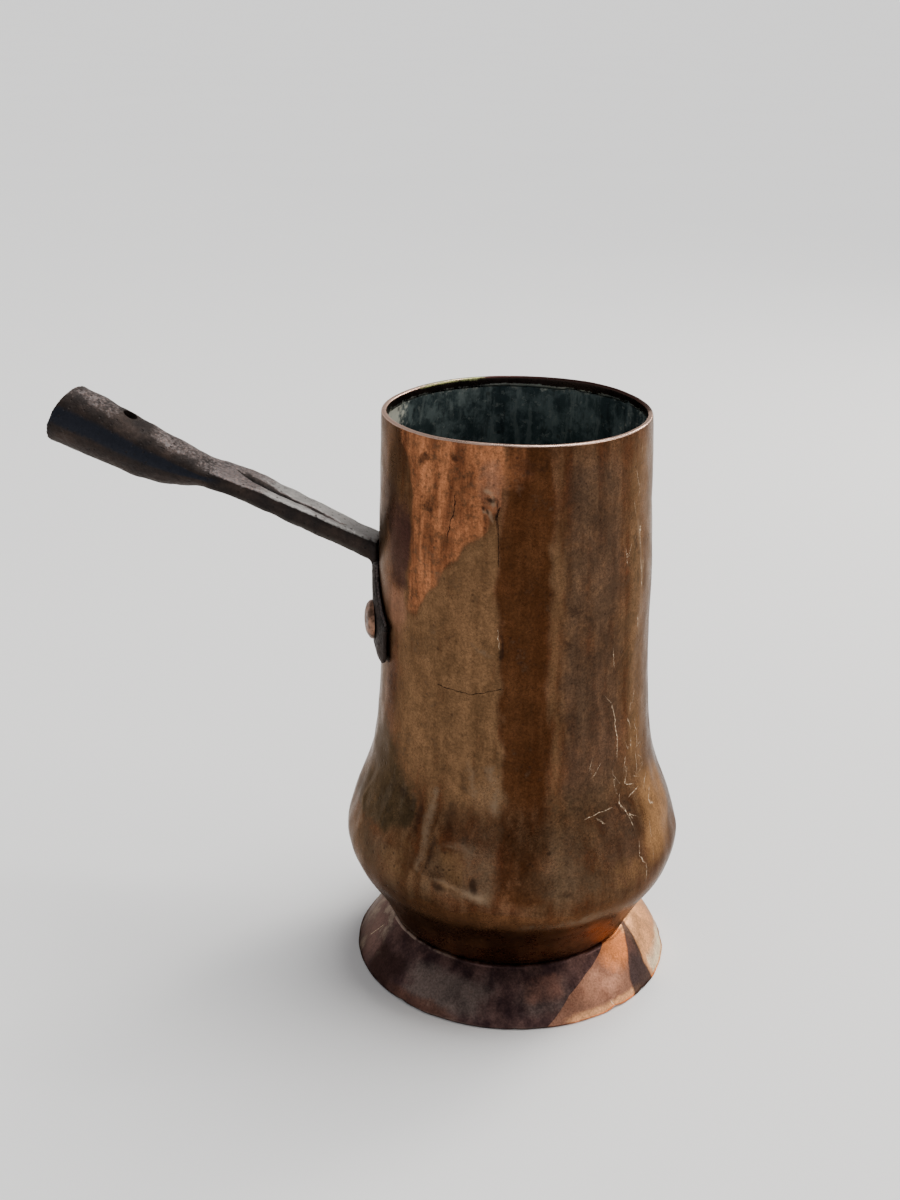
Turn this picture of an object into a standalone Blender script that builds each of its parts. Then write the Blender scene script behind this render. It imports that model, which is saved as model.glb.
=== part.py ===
"""Copper chocolate pot: a raised copper body on a flared foot ring, with a forged iron handle.

Sizes are in metres and +Z is up. The handle points along -X, and the pot's turning axis is the
empty called pot_axis. The origin lies on the table, in the middle of the whole pot's length and width.
"""

import math

import bmesh
import bpy
from mathutils import Matrix, Vector

# Sheet and seams
SHEET = 0.0012
SEAM_GAP = 0.0003
TURN_STEPS = 64
OUTSIDE_STEPS = 3
INSIDE_STEPS = 2
LIP_WIDTH = 0.0060

# Foot ring
FOOT_HEIGHT = 0.0195
FOOT_RADIUS = 0.0637
FOOT_SWELL = 0.0018
FOOT_EDGE = 0.0018

# Body outside, from the foot joint up: each stage's rise above the one before it, and its radius
JOINT_RADIUS = 0.0488
UNDERSIDE_RISE = 0.0145
UNDERSIDE_RADIUS = 0.0564
LOWER_BELLY_RISE = 0.0120
LOWER_BELLY_RADIUS = 0.0640
BELLY_RISE = 0.0110
BELLY_RADIUS = 0.0668
SHOULDER_RISE = 0.0130
SHOULDER_RADIUS = 0.0638
WAIST_RISE = 0.0220
WAIST_RADIUS = 0.0562
BARREL_RISE = 0.0260
BARREL_RADIUS = 0.0530
CHEST_RISE = 0.0570
CHEST_RADIUS = 0.0520
RIM_RISE = 0.0547
RIM_RADIUS = 0.0500

# Rim, where the sheet is folded inwards and hammered down flat
HEM_DEPTH = 0.0042
HEM_SHEET = 0.0011
RIM_ROUND = 0.0005

# Base disc, let into the body and soldered on the body's turned-in lip
BASE_SHEET = 0.0015
BASE_CHAMFER = 0.0004

# Handle plate, flattened from the end of the handle bar and bent round the body
PLATE_SHEET = 0.0027
PLATE_DROP = 0.0617
PLATE_HEIGHT = 0.0340
PLATE_NECK_WIDTH = 0.0210
PLATE_SHOULDER_WIDTH = 0.0480
PLATE_SHOULDER_DROP = 0.0135
PLATE_WIDTH = 0.0600
PLATE_TIP_DROP = 0.0180
PLATE_TAIL_WIDTH = 0.0560
PLATE_TAIL_DROP = 0.0210
PLATE_CORNER = 0.0020

# Rivets, side by side through the plate and the body
RIVET_SPREAD = 0.0292
RIVET_DROP = 0.0200
RIVET_SHANK_RADIUS = 0.0030
RIVET_HEAD_RADIUS = 0.0076
RIVET_HEAD_HEIGHT = 0.0032
RIVET_TAIL_RADIUS = 0.0052
RIVET_TAIL_HEIGHT = 0.0013
RIVET_TAIL_BEVEL = 0.0008
RIVET_STEPS = 24
RIVET_EDGE_GAP = 0.0001

# Handle bar, from its bend above the plate out to the socket
BEND_RADIUS = 0.0025
BEND_DROP = 0.0014
ROOT_DEPTH = 0.0160
ROOT_THICKNESS = 0.0025
BAR_LENGTH = 0.0565
BAR_TILT = math.radians(23.5)
BAR_ROOT_THICKNESS = 0.0084
BAR_ROOT_WIDTH = 0.0130
BAR_END_THICKNESS = 0.0072
BAR_END_WIDTH = 0.0202

# Socket, rolled from the spread end of the bar, for a wooden grip
SOCKET_LENGTH = 0.0730
SOCKET_TILT = math.radians(20.0)
SOCKET_SAG = 0.0028
MOUTH_RADIUS = 0.0123
MOUTH_SKEW = math.radians(16.0)
MOUTH_SKEW_TURN = math.radians(195.0)
SOCKET_WALL = 0.0026
SOCKET_DEPTH = 0.0450
NAIL_HOLE_RADIUS = 0.0029
NAIL_HOLE_INSET = 0.0216
LOFT_SIDES = 28
BAR_SQUARENESS = 6.0


def clear_scene():
    for old in list(bpy.data.objects):
        bpy.data.objects.remove(old, do_unlink=True)


def new_collection(name, hidden=False):
    collection = bpy.data.collections.new(name)
    collection.hide_render = hidden
    bpy.context.scene.collection.children.link(collection)
    return collection


def metal(name, colour, roughness):
    material = bpy.data.materials.new(name)
    material.use_nodes = True
    shader = material.node_tree.nodes["Principled BSDF"]
    shader.inputs["Base Color"].default_value = (*colour, 1.0)
    shader.inputs["Roughness"].default_value = roughness
    shader.inputs["Metallic"].default_value = 1.0
    return material


def add_object(name, mesh, collection, parent=None):
    made = bpy.data.objects.new(name, mesh)
    collection.objects.link(made)
    made.parent = parent
    return made


def smooth(mesh, crease=math.radians(35)):
    mesh.shade_smooth()
    mesh.set_sharp_from_angle(angle=crease)


def eased(share):
    return share * share * (3 - 2 * share)


class SmoothCurve:
    """A smooth curve through (position, value) stations, with each slope taken from its neighbours."""

    def __init__(self, stations):
        self.at = [at for at, _ in stations]
        self.value = [value for _, value in stations]
        run = [b - a for a, b in zip(self.at, self.at[1:])]
        rise = [b - a for a, b in zip(self.value, self.value[1:])]
        grade = [up / along for up, along in zip(rise, run)]
        inner = [
            (grade[i] * run[i + 1] + grade[i + 1] * run[i]) / (run[i] + run[i + 1])
            for i in range(len(run) - 1)
        ]
        self.slope = [2 * grade[0] - inner[0], *inner, 2 * grade[-1] - inner[-1]]

    def span(self, at):
        last = len(self.at) - 2
        return next((i for i in range(last) if at < self.at[i + 1]), last)

    def __call__(self, at):
        i = self.span(at)
        run = self.at[i + 1] - self.at[i]
        t = (at - self.at[i]) / run
        return (
            (2 * t**3 - 3 * t**2 + 1) * self.value[i]
            + (t**3 - 2 * t**2 + t) * run * self.slope[i]
            + (3 * t**2 - 2 * t**3) * self.value[i + 1]
            + (t**3 - t**2) * run * self.slope[i + 1]
        )

    def grade(self, at, step=1e-5):
        return (self(at + step) - self(at - step)) / (2 * step)


def body_stations():
    """(height, outer radius) of each stage of the body, from the foot joint to the rim."""
    stages = (
        (0.0, JOINT_RADIUS),
        (UNDERSIDE_RISE, UNDERSIDE_RADIUS),
        (LOWER_BELLY_RISE, LOWER_BELLY_RADIUS),
        (BELLY_RISE, BELLY_RADIUS),
        (SHOULDER_RISE, SHOULDER_RADIUS),
        (WAIST_RISE, WAIST_RADIUS),
        (BARREL_RISE, BARREL_RADIUS),
        (CHEST_RISE, CHEST_RADIUS),
        (RIM_RISE, RIM_RADIUS),
    )
    height = FOOT_HEIGHT
    stations = []
    for rise, radius in stages:
        height += rise
        stations.append((height, radius))
    return stations


BODY_STATIONS = body_stations()
RIM_HEIGHT = BODY_STATIONS[-1][0]
body_radius = SmoothCurve(BODY_STATIONS)


def inner_radius(height):
    """Inside of the body wall, as thick as the sheet square to the slope."""
    return body_radius(height) - SHEET * math.hypot(1, body_radius.grade(height))


def ring_arc(centre, radius, start, end, steps=2):
    """Points of a small rounding in the profile, as (radius, height) pairs."""
    angles = [start + (end - start) * i / steps for i in range(steps + 1)]
    return [(centre[0] + radius * math.cos(a), centre[1] + radius * math.sin(a)) for a in angles]


def turned_mesh(name, profile, closed=True):
    """The profile as a mesh wire in the XZ plane, ready for a Screw modifier."""
    mesh = bpy.data.meshes.new(name)
    edges = [(i, i + 1) for i in range(len(profile) - 1)]
    if closed:
        edges.append((len(profile) - 1, 0))
    mesh.from_pydata([(r, 0.0, z) for r, z in profile], edges, [])
    return mesh


def turn_round(made, steps=TURN_STEPS):
    screw = made.modifiers.new("Turn", "SCREW")
    screw.axis = "Z"
    screw.steps = steps
    screw.render_steps = steps
    screw.use_merge_vertices = True
    screw.merge_threshold = 1e-5
    screw.use_smooth_shade = True
    return made


def add_turned(name, profile, collection, parent):
    return turn_round(add_object(name, turned_mesh(name, profile), collection, parent))


def add_boolean(target, other, operation):
    cut = target.modifiers.new(f"{operation.title()} {other.name}", "BOOLEAN")
    cut.operation = operation
    cut.solver = "EXACT"
    cut.object = other


def as_cutter(made):
    made.hide_render = True
    made.display_type = "WIRE"
    return made


# Body shell
def body_heights(steps, low_end, high_end):
    """Heights between two ends at which the wall is drawn, with each stage split into equal steps."""
    heights = []
    for (low, _), (high, _) in zip(BODY_STATIONS, BODY_STATIONS[1:]):
        heights += [low + (high - low) * i / steps for i in range(steps)]
    return [height for height in heights if low_end < height < high_end]


def body_profile():
    hem_inside = RIM_RADIUS - SHEET - HEM_SHEET
    outer_top = (RIM_RADIUS - RIM_ROUND, RIM_HEIGHT - RIM_ROUND)
    inner_top = (hem_inside + RIM_ROUND, RIM_HEIGHT - RIM_ROUND)
    hem_foot = RIM_HEIGHT - HEM_DEPTH
    lip_top = FOOT_HEIGHT + SHEET
    corner = (JOINT_RADIUS - SHEET, lip_top)
    clear = SHEET / 2
    outside = ring_arc(outer_top, RIM_ROUND, math.pi / 2, 0)
    drawn = body_heights(OUTSIDE_STEPS, lip_top + clear, hem_foot)
    outside += [(body_radius(height), height) for height in reversed(drawn)]
    corner_round = ring_arc(corner, SHEET, 0, -math.pi / 2)
    lip_edge = JOINT_RADIUS - LIP_WIDTH
    lip = [(lip_edge, FOOT_HEIGHT), (lip_edge, lip_top), (inner_radius(lip_top), lip_top)]
    drawn = body_heights(INSIDE_STEPS, lip_top + clear, hem_foot - clear)
    inside = [(inner_radius(height), height) for height in drawn]
    hem = [
        (inner_radius(hem_foot), hem_foot),
        (hem_inside + RIM_ROUND, hem_foot),
        (hem_inside, hem_foot + RIM_ROUND),
    ]
    return outside + corner_round + lip + inside + hem + ring_arc(inner_top, RIM_ROUND, math.pi, math.pi / 2)


# Foot ring
def foot_profile():
    top = FOOT_HEIGHT - SEAM_GAP
    steps = 6

    def flank(share):
        return FOOT_RADIUS + (JOINT_RADIUS - FOOT_RADIUS) * share + 4 * FOOT_SWELL * share * (1 - share)

    shares = [i / steps for i in range(steps + 1)]
    outside = [(flank(s), top * s) for s in reversed(shares)]
    under_flange = top - SHEET
    inside = [(flank(s) - FOOT_EDGE, top * s) for s in shares if top * s < under_flange - SHEET]
    flange_edge = JOINT_RADIUS - LIP_WIDTH
    last = flank(under_flange / top) - FOOT_EDGE
    return outside + inside + [(last, under_flange), (flange_edge, under_flange), (flange_edge, top)]


# Base disc
def add_base_disc(collection, parent, material):
    bottom = FOOT_HEIGHT + SHEET + SEAM_GAP
    radius = min(inner_radius(bottom), inner_radius(bottom + BASE_SHEET)) - SEAM_GAP
    mesh = bpy.data.meshes.new("base_disc")
    work = bmesh.new()
    bmesh.ops.create_cone(
        work, cap_ends=True, segments=TURN_STEPS, radius1=radius, radius2=radius, depth=BASE_SHEET
    )
    work.to_mesh(mesh)
    work.free()
    disc = add_object("base_disc", mesh, collection, parent)
    disc.location.z = bottom + BASE_SHEET / 2
    bevel = disc.modifiers.new("Edge", "BEVEL")
    bevel.width = BASE_CHAMFER
    bevel.segments = 1
    bevel.limit_method = "ANGLE"
    smooth(mesh)
    mesh.materials.append(material)
    return disc


# Rivets
PLATE_TOP = RIM_HEIGHT - PLATE_DROP
RIVET_HEIGHT = PLATE_TOP - RIVET_DROP
PLATE_OUTSIDE = body_radius(RIVET_HEIGHT) + SEAM_GAP + PLATE_SHEET
RIVET_TURN = math.asin(RIVET_SPREAD / 2 / PLATE_OUTSIDE)


def heights_beside_rivet(reach, steps=4):
    """Heights from this far below the rivet's axis to this far above it."""
    return [RIVET_HEIGHT + reach * i / steps for i in range(-steps, steps + 1)]


def rivet_seats():
    """Where the head and the tail lie, from the pot's turning axis. On a sloping wall their edges touch first."""
    flat = math.cos(math.pi / TURN_STEPS)
    under_head = max(body_radius(height) for height in heights_beside_rivet(RIVET_HEAD_RADIUS))
    head_edge = under_head + SEAM_GAP + PLATE_SHEET + RIVET_EDGE_GAP
    head_seat = max(PLATE_OUTSIDE + SEAM_GAP, head_edge)
    under_tail = min(inner_radius(height) for height in heights_beside_rivet(RIVET_TAIL_RADIUS))
    tail_edge = math.sqrt((under_tail * flat) ** 2 - RIVET_TAIL_RADIUS**2) - RIVET_EDGE_GAP
    tail_middle = math.sqrt((inner_radius(RIVET_HEIGHT) * flat) ** 2 - RIVET_TAIL_RADIUS**2) - SEAM_GAP
    return head_seat, min(tail_middle, tail_edge)


def rivet_profile():
    """Along the rivet's own axis: 0 is the pot's turning axis and + is outwards."""
    head_seat, tail_seat = rivet_seats()
    dome = (RIVET_HEAD_RADIUS**2 + RIVET_HEAD_HEIGHT**2) / (2 * RIVET_HEAD_HEIGHT)
    half_arc = math.asin(RIVET_HEAD_RADIUS / dome)
    centre = (0.0, head_seat + RIVET_HEAD_HEIGHT - dome)
    head = ring_arc(centre, dome, math.pi / 2, math.pi / 2 - half_arc, steps=6)
    head[0] = (0.0, head_seat + RIVET_HEAD_HEIGHT)
    shank = [(RIVET_SHANK_RADIUS, head_seat), (RIVET_SHANK_RADIUS, tail_seat)]
    tail_face = tail_seat - RIVET_TAIL_HEIGHT
    tail_edge = tail_face + RIVET_TAIL_BEVEL
    tail = [
        (RIVET_TAIL_RADIUS, tail_seat),
        (RIVET_TAIL_RADIUS, tail_edge),
        (RIVET_TAIL_RADIUS - 2 * RIVET_TAIL_BEVEL, tail_face),
        (0.0, tail_face),
    ]
    return head + shank + tail


def point_outwards(made, turn):
    """Lays the object's own Z axis along the pot's radius, turned this far from the handle."""
    outward = Vector((-math.cos(turn), -math.sin(turn), 0.0))
    made.rotation_euler = outward.to_track_quat("Z", "Y").to_euler()
    made.location.z = RIVET_HEIGHT


def rivet_hole(name, turn, collection, parent):
    mesh = bpy.data.meshes.new(name)
    work = bmesh.new()
    radius = RIVET_SHANK_RADIUS + SEAM_GAP
    length = 4 * (PLATE_SHEET + SHEET)
    bmesh.ops.create_cone(
        work, cap_ends=True, segments=RIVET_STEPS, radius1=radius, radius2=radius, depth=length
    )
    bmesh.ops.translate(work, verts=work.verts, vec=(0.0, 0.0, PLATE_OUTSIDE))
    work.to_mesh(mesh)
    work.free()
    cutter = as_cutter(add_object(name, mesh, collection, parent))
    point_outwards(cutter, turn)
    return cutter


# Handle plate
def plate_outline():
    """Half outline as (half width, drop below the plate's top), from the neck down to the tail."""
    return [
        (PLATE_NECK_WIDTH / 2, 0.0),
        (PLATE_SHOULDER_WIDTH / 2, PLATE_SHOULDER_DROP),
        (PLATE_WIDTH / 2 - PLATE_CORNER / 2, PLATE_TIP_DROP - PLATE_CORNER / 2),
        (PLATE_WIDTH / 2, PLATE_TIP_DROP),
        (PLATE_WIDTH / 2 - PLATE_CORNER / 4, PLATE_TIP_DROP + PLATE_CORNER / 2),
        (PLATE_TAIL_WIDTH / 2 + PLATE_CORNER / 4, PLATE_TAIL_DROP),
        (PLATE_TAIL_WIDTH / 2, PLATE_HEIGHT - PLATE_CORNER),
        (PLATE_TAIL_WIDTH / 2 - PLATE_CORNER, PLATE_HEIGHT),
    ]


def plate_prism(collection, parent):
    """The plate's outline as a flat curve, stretched along X so that it can be cut from a turned shell."""
    half = plate_outline()
    points = [(side, PLATE_TOP - drop) for side, drop in half]
    points += [(-side, PLATE_TOP - drop) for side, drop in reversed(half)]
    curve = bpy.data.curves.new("plate_outline", "CURVE")
    curve.dimensions = "2D"
    curve.fill_mode = "BOTH"
    curve.extrude = body_radius(PLATE_TOP) / 2
    spline = curve.splines.new("POLY")
    spline.points.add(len(points) - 1)
    for point, (across, up) in zip(spline.points, points):
        point.co = (across, up, 0.0, 1.0)
    spline.use_cyclic_u = True
    drawn = add_object("plate_outline", curve, collection)
    across, up, along = Vector((0, 1, 0)), Vector((0, 0, 1)), Vector((1, 0, 0))
    turn = Matrix((across, up, along)).transposed().to_4x4()
    drawn.matrix_world = Matrix.Translation((-body_radius(PLATE_TOP), 0, 0)) @ turn
    bpy.context.view_layer.update()
    evaluated = drawn.evaluated_get(bpy.context.evaluated_depsgraph_get())
    mesh = bpy.data.meshes.new_from_object(evaluated)
    work = bmesh.new()
    work.from_mesh(mesh)
    bmesh.ops.remove_doubles(work, verts=work.verts, dist=1e-6)
    bmesh.ops.transform(work, matrix=drawn.matrix_world, verts=work.verts)
    bmesh.ops.recalc_face_normals(work, faces=work.faces)
    work.to_mesh(mesh)
    work.free()
    bpy.data.objects.remove(drawn, do_unlink=True)
    return as_cutter(add_object("plate_prism", mesh, collection, parent))


def plate_blank(collection, parent):
    """A turned shell that follows the body with a seam gap, from which the prism keeps the plate."""
    margin = 0.002
    top, bottom = PLATE_TOP + margin, PLATE_TOP - PLATE_HEIGHT - margin
    steps = 8
    heights = [top + (bottom - top) * i / steps for i in range(steps + 1)]
    outside = [(body_radius(h) + SEAM_GAP + PLATE_SHEET, h) for h in heights]
    inside = [(body_radius(h) + SEAM_GAP, h) for h in reversed(heights)]
    return as_cutter(add_turned("plate_blank", outside + inside, collection, parent))


# Handle bar and socket
class Section:
    """One rounded section of the handle: its centre, the way it faces, its half sizes and squareness."""

    def __init__(self, reach, height, tilt, half_thickness, half_width, squareness, skew=0.0):
        self.centre = Vector((-reach, 0.0, height))
        self.outward = Vector((-math.cos(tilt), 0.0, math.sin(tilt)))
        self.upward = Vector((math.sin(tilt), 0.0, math.cos(tilt)))
        self.half_thickness = half_thickness
        self.half_width = half_width
        self.squareness = squareness
        self.skew = skew

    def ring(self):
        points = []
        power = 2 / self.squareness
        for i in range(LOFT_SIDES):
            angle = 2 * math.pi * (i + 0.5) / LOFT_SIDES
            across = self.half_width * math.copysign(abs(math.cos(angle)) ** power, math.cos(angle))
            up = self.half_thickness * math.copysign(abs(math.sin(angle)) ** power, math.sin(angle))
            point = self.centre + Vector((0.0, across, 0.0)) + up * self.upward
            ahead = math.cos(MOUTH_SKEW_TURN) * across + math.sin(MOUTH_SKEW_TURN) * up
            points.append(point + math.tan(self.skew) * ahead * self.outward)
        return points


def plate_wall(height):
    """Distance from the turning axis to the plate's inner face."""
    return body_radius(height) + SEAM_GAP


def root_sections():
    """From inside the plate, up its middle and round the bend on to the bar."""
    pivot_reach = plate_wall(PLATE_TOP) + PLATE_SHEET + BEND_RADIUS
    pivot_height = PLATE_TOP - BEND_DROP
    room = pivot_reach - plate_wall(PLATE_TOP) - SEAM_GAP / 2
    sections = []
    for share, fullness in ((1.0, 0.6), (0.5, 0.9)):
        height = PLATE_TOP - ROOT_DEPTH * share
        middle = plate_wall(height) + (PLATE_SHEET + SEAM_GAP) / 2
        half_thickness = fullness * (PLATE_SHEET - SEAM_GAP) / 2
        sections.append((middle, height, math.pi / 2, half_thickness, BAR_ROOT_WIDTH / 2))
    for share in (0.0, 0.3, 0.55, 0.8, 1.0):
        lean = math.pi / 2 + (BAR_TILT - math.pi / 2) * share
        full = ROOT_THICKNESS + (BAR_ROOT_THICKNESS - ROOT_THICKNESS) * eased(share)
        thickness = min(full, room / math.sin(lean) - BEND_RADIUS)
        out = BEND_RADIUS + thickness / 2
        reach = pivot_reach - out * math.sin(lean)
        height = pivot_height + out * math.cos(lean)
        sections.append((reach, height, lean, thickness / 2, BAR_ROOT_WIDTH / 2))
    return [Section(*values, BAR_SQUARENESS) for values in sections]


ROOT_SECTIONS = root_sections()
BAR_START = ROOT_SECTIONS[-1].centre
BAR_END = BAR_START + BAR_LENGTH * Vector((-math.cos(BAR_TILT), 0.0, math.sin(BAR_TILT)))
MOUTH_CENTRE = BAR_END + SOCKET_LENGTH * Vector((-math.cos(SOCKET_TILT), 0.0, math.sin(SOCKET_TILT)))


def bar_sections():
    sections = []
    steps = 5
    for i in range(1, steps + 1):
        share = i / steps
        place = BAR_START.lerp(BAR_END, share)
        thickness = BAR_ROOT_THICKNESS + (BAR_END_THICKNESS - BAR_ROOT_THICKNESS) * share
        width = BAR_ROOT_WIDTH + (BAR_END_WIDTH - BAR_ROOT_WIDTH) * share
        sections.append(Section(-place.x, place.z, BAR_TILT, thickness / 2, width / 2, BAR_SQUARENESS))
    return sections


# How far the bar has opened out into the round mouth (0 to 1), by the share of the socket's length
socket_growth = SmoothCurve(
    ((0.0, 0.0), (0.08, 0.0), (0.20, 0.15), (0.34, 0.49), (0.52, 0.72), (0.72, 0.84), (1.0, 1.0))
)


def socket_section(share, wall=0.0, skew=0.0):
    """The socket at this share of its length, drawn in by the wall for the bore."""
    place = BAR_END.lerp(MOUTH_CENTRE, share)
    sag = SOCKET_SAG * math.sin(math.pi * share) ** 2
    sag_slope = SOCKET_SAG * math.pi * math.sin(2 * math.pi * share) / SOCKET_LENGTH
    thickness = BAR_END_THICKNESS + (2 * MOUTH_RADIUS - BAR_END_THICKNESS) * socket_growth(share)
    width = BAR_END_WIDTH + (2 * MOUTH_RADIUS - BAR_END_WIDTH) * eased(share)
    squareness = 2 + (BAR_SQUARENESS - 2) * (1 - eased(min(1, share / 0.22)))
    tilt = SOCKET_TILT - sag_slope
    half_sizes = (thickness / 2 - wall, width / 2 - wall)
    return Section(-place.x, place.z - sag, tilt, *half_sizes, squareness, skew)


def socket_sections():
    shares = (0.08, 0.16, 0.24, 0.33, 0.43, 0.55, 0.70, 0.85)
    outside = [socket_section(share) for share in shares]
    mouth = [
        socket_section(1.0, skew=MOUTH_SKEW),
        socket_section(1.0, wall=SOCKET_WALL, skew=MOUTH_SKEW),
    ]
    deepest = 1 - SOCKET_DEPTH / SOCKET_LENGTH
    bore_steps = 4
    bore = [
        socket_section(1 + (deepest - 1) * i / bore_steps, wall=SOCKET_WALL)
        for i in range(1, bore_steps + 1)
    ]
    return outside + mouth + bore


def loft_mesh(name, sections):
    """Skins the rings in order, with both ends closed by a fan."""
    mesh = bpy.data.meshes.new(name)
    work = bmesh.new()
    rings = [[work.verts.new(point) for point in section.ring()] for section in sections]
    for ring, following in zip(rings, rings[1:]):
        for i in range(LOFT_SIDES):
            j = (i + 1) % LOFT_SIDES
            work.faces.new((ring[i], ring[j], following[j], following[i]))
    for ring, section in ((rings[0], sections[0]), (rings[-1], sections[-1])):
        middle = work.verts.new(section.centre)
        for i in range(LOFT_SIDES):
            work.faces.new((ring[i], ring[(i + 1) % LOFT_SIDES], middle))
    bmesh.ops.recalc_face_normals(work, faces=work.faces)
    work.to_mesh(mesh)
    work.free()
    return mesh


def nail_hole(collection, parent):
    share = 1 - NAIL_HOLE_INSET / SOCKET_LENGTH
    section = socket_section(share)
    mesh = bpy.data.meshes.new("nail_hole")
    work = bmesh.new()
    length = 3 * SOCKET_WALL
    bmesh.ops.create_cone(
        work, cap_ends=True, segments=16, radius1=NAIL_HOLE_RADIUS, radius2=NAIL_HOLE_RADIUS, depth=length
    )
    work.to_mesh(mesh)
    work.free()
    cutter = as_cutter(add_object("nail_hole", mesh, collection, parent))
    middle_of_wall = section.half_thickness - SOCKET_WALL / 2
    cutter.location = section.centre + middle_of_wall * section.upward
    cutter.rotation_euler = section.upward.to_track_quat("Z", "Y").to_euler()
    return cutter


def set_origin_under_middle(axis):
    """Moves the pot so that the world origin is under the middle of its length."""
    bpy.context.view_layer.update()
    graph = bpy.context.evaluated_depsgraph_get()
    sides = []
    for child in axis.children:
        if child.hide_render:
            continue
        evaluated = child.evaluated_get(graph)
        mesh = evaluated.to_mesh()
        sides += [(evaluated.matrix_world @ vertex.co).x for vertex in mesh.vertices]
        evaluated.to_mesh_clear()
    axis.location.x = -(min(sides) + max(sides)) / 2


def main():
    clear_scene()
    parts = new_collection("copper_chocolate_pot")
    cutters = new_collection("cutters", hidden=True)
    axis = bpy.data.objects.new("pot_axis", None)
    parts.objects.link(axis)

    aged_copper = metal("aged_copper", (0.33, 0.17, 0.09), 0.38)
    foot_copper = metal("foot_copper", (0.30, 0.14, 0.11), 0.42)
    tinned_copper = metal("tinned_copper", (0.28, 0.30, 0.30), 0.45)
    rivet_copper = metal("rivet_copper", (0.36, 0.20, 0.13), 0.45)
    forged_iron = metal("forged_iron", (0.06, 0.055, 0.055), 0.55)

    body = add_turned("body_shell", body_profile(), parts, axis)
    body.data.materials.append(aged_copper)
    foot = add_turned("foot_ring", foot_profile(), parts, axis)
    foot.data.materials.append(foot_copper)
    add_base_disc(parts, axis, tinned_copper)

    sections = ROOT_SECTIONS + bar_sections() + socket_sections()
    handle = add_object("handle", loft_mesh("handle", sections), parts, axis)
    smooth(handle.data)
    handle.data.materials.append(forged_iron)
    plate = plate_prism(cutters, axis)
    add_boolean(plate, plate_blank(cutters, axis), "INTERSECT")
    add_boolean(handle, plate, "UNION")
    add_boolean(handle, nail_hole(cutters, axis), "DIFFERENCE")

    rivet_mesh = turned_mesh("rivet", rivet_profile(), closed=False)
    rivet_mesh.materials.append(rivet_copper)
    for name, side in (("rivet_front", 1), ("rivet_rear", -1)):
        hole = rivet_hole(f"{name}_hole", side * RIVET_TURN, cutters, axis)
        add_boolean(handle, hole, "DIFFERENCE")
        add_boolean(body, hole, "DIFFERENCE")
        rivet = turn_round(add_object(name, rivet_mesh, parts, axis), RIVET_STEPS)
        point_outwards(rivet, side * RIVET_TURN)

    set_origin_under_middle(axis)


main()
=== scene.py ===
"""Dresses the copper chocolate pot: a raised and tinned copper body on a soldered foot, with a forged iron handle."""

import math

import bmesh
import bpy
import numpy as np
from mathutils import Matrix, Vector


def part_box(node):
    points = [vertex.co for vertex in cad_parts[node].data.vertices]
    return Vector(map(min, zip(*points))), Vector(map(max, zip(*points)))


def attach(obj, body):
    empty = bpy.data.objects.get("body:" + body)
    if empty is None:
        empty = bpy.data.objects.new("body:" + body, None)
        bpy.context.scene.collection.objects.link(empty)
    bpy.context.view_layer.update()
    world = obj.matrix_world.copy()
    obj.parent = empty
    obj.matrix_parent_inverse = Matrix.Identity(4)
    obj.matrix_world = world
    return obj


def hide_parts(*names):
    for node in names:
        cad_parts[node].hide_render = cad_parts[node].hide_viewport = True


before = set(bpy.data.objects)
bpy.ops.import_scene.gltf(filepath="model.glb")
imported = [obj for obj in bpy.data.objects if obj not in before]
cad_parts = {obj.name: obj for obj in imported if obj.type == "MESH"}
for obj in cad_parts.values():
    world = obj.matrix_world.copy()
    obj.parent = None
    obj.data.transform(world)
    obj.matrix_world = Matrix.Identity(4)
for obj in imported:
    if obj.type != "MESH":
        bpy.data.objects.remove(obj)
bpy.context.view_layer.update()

# --- Camera, table and studio light ---
# The pot stands on a plain pale table. A wide soft light comes from overhead, two smaller warm
# ones stand on the right and behind on the right, and pale walls all round fill in the rest.
foot_low, foot_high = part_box("foot_ring")
AXIS_X = (foot_low.x + foot_high.x) / 2

CAMERA_DISTANCE = 0.5754
CAMERA_HEIGHT = 0.3838
CAMERA_PITCH = math.radians(21.865)
CAMERA_YAW = math.radians(-2.582)
CAMERA_ROLL = math.radians(-0.454)
POT_TURN = math.radians(5.0)
LENS = 47.95
SENSOR_WIDTH = 36.0

TABLE_HALF_WIDTH = 40.0
TABLE_WHITES = ((0.88, 0.88, 0.88), (0.91, 0.91, 0.905))
# How bright the walls round the table are, by height: sine of the elevation, and grey
ROOM_SHADES = ((0.001, 1.0), (0.06, 0.92), (0.22, 0.56), (0.50, 0.38), (0.85, 0.26))
ROOM_BLUENESS = 1.02
ROOM_STRENGTH = 1.25
OVERHEAD_POWER = 3.3
OVERHEAD_WIDTH = math.radians(38)
OVERHEAD_TURN = (math.radians(-13), math.radians(16), 0.0)
OVERHEAD_COLOUR = (1.0, 0.99, 0.975)
# Soft lights: name, azimuth from the pot's front to its right, elevation, distance, size, power, colour
SOFT_LIGHTS = (
    ("right_soft_light", 84, 24, 1.3, 0.50, 4.2, (1.0, 0.93, 0.84)),
    ("back_right_light", 140, 30, 1.4, 0.35, 8.0, (1.0, 0.95, 0.88)),
)
LIGHTS_AIM = Vector((AXIS_X, 0.0, 0.1))


def linked(name, data):
    made = bpy.data.objects.new(name, data)
    bpy.context.scene.collection.objects.link(made)
    return made


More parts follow.
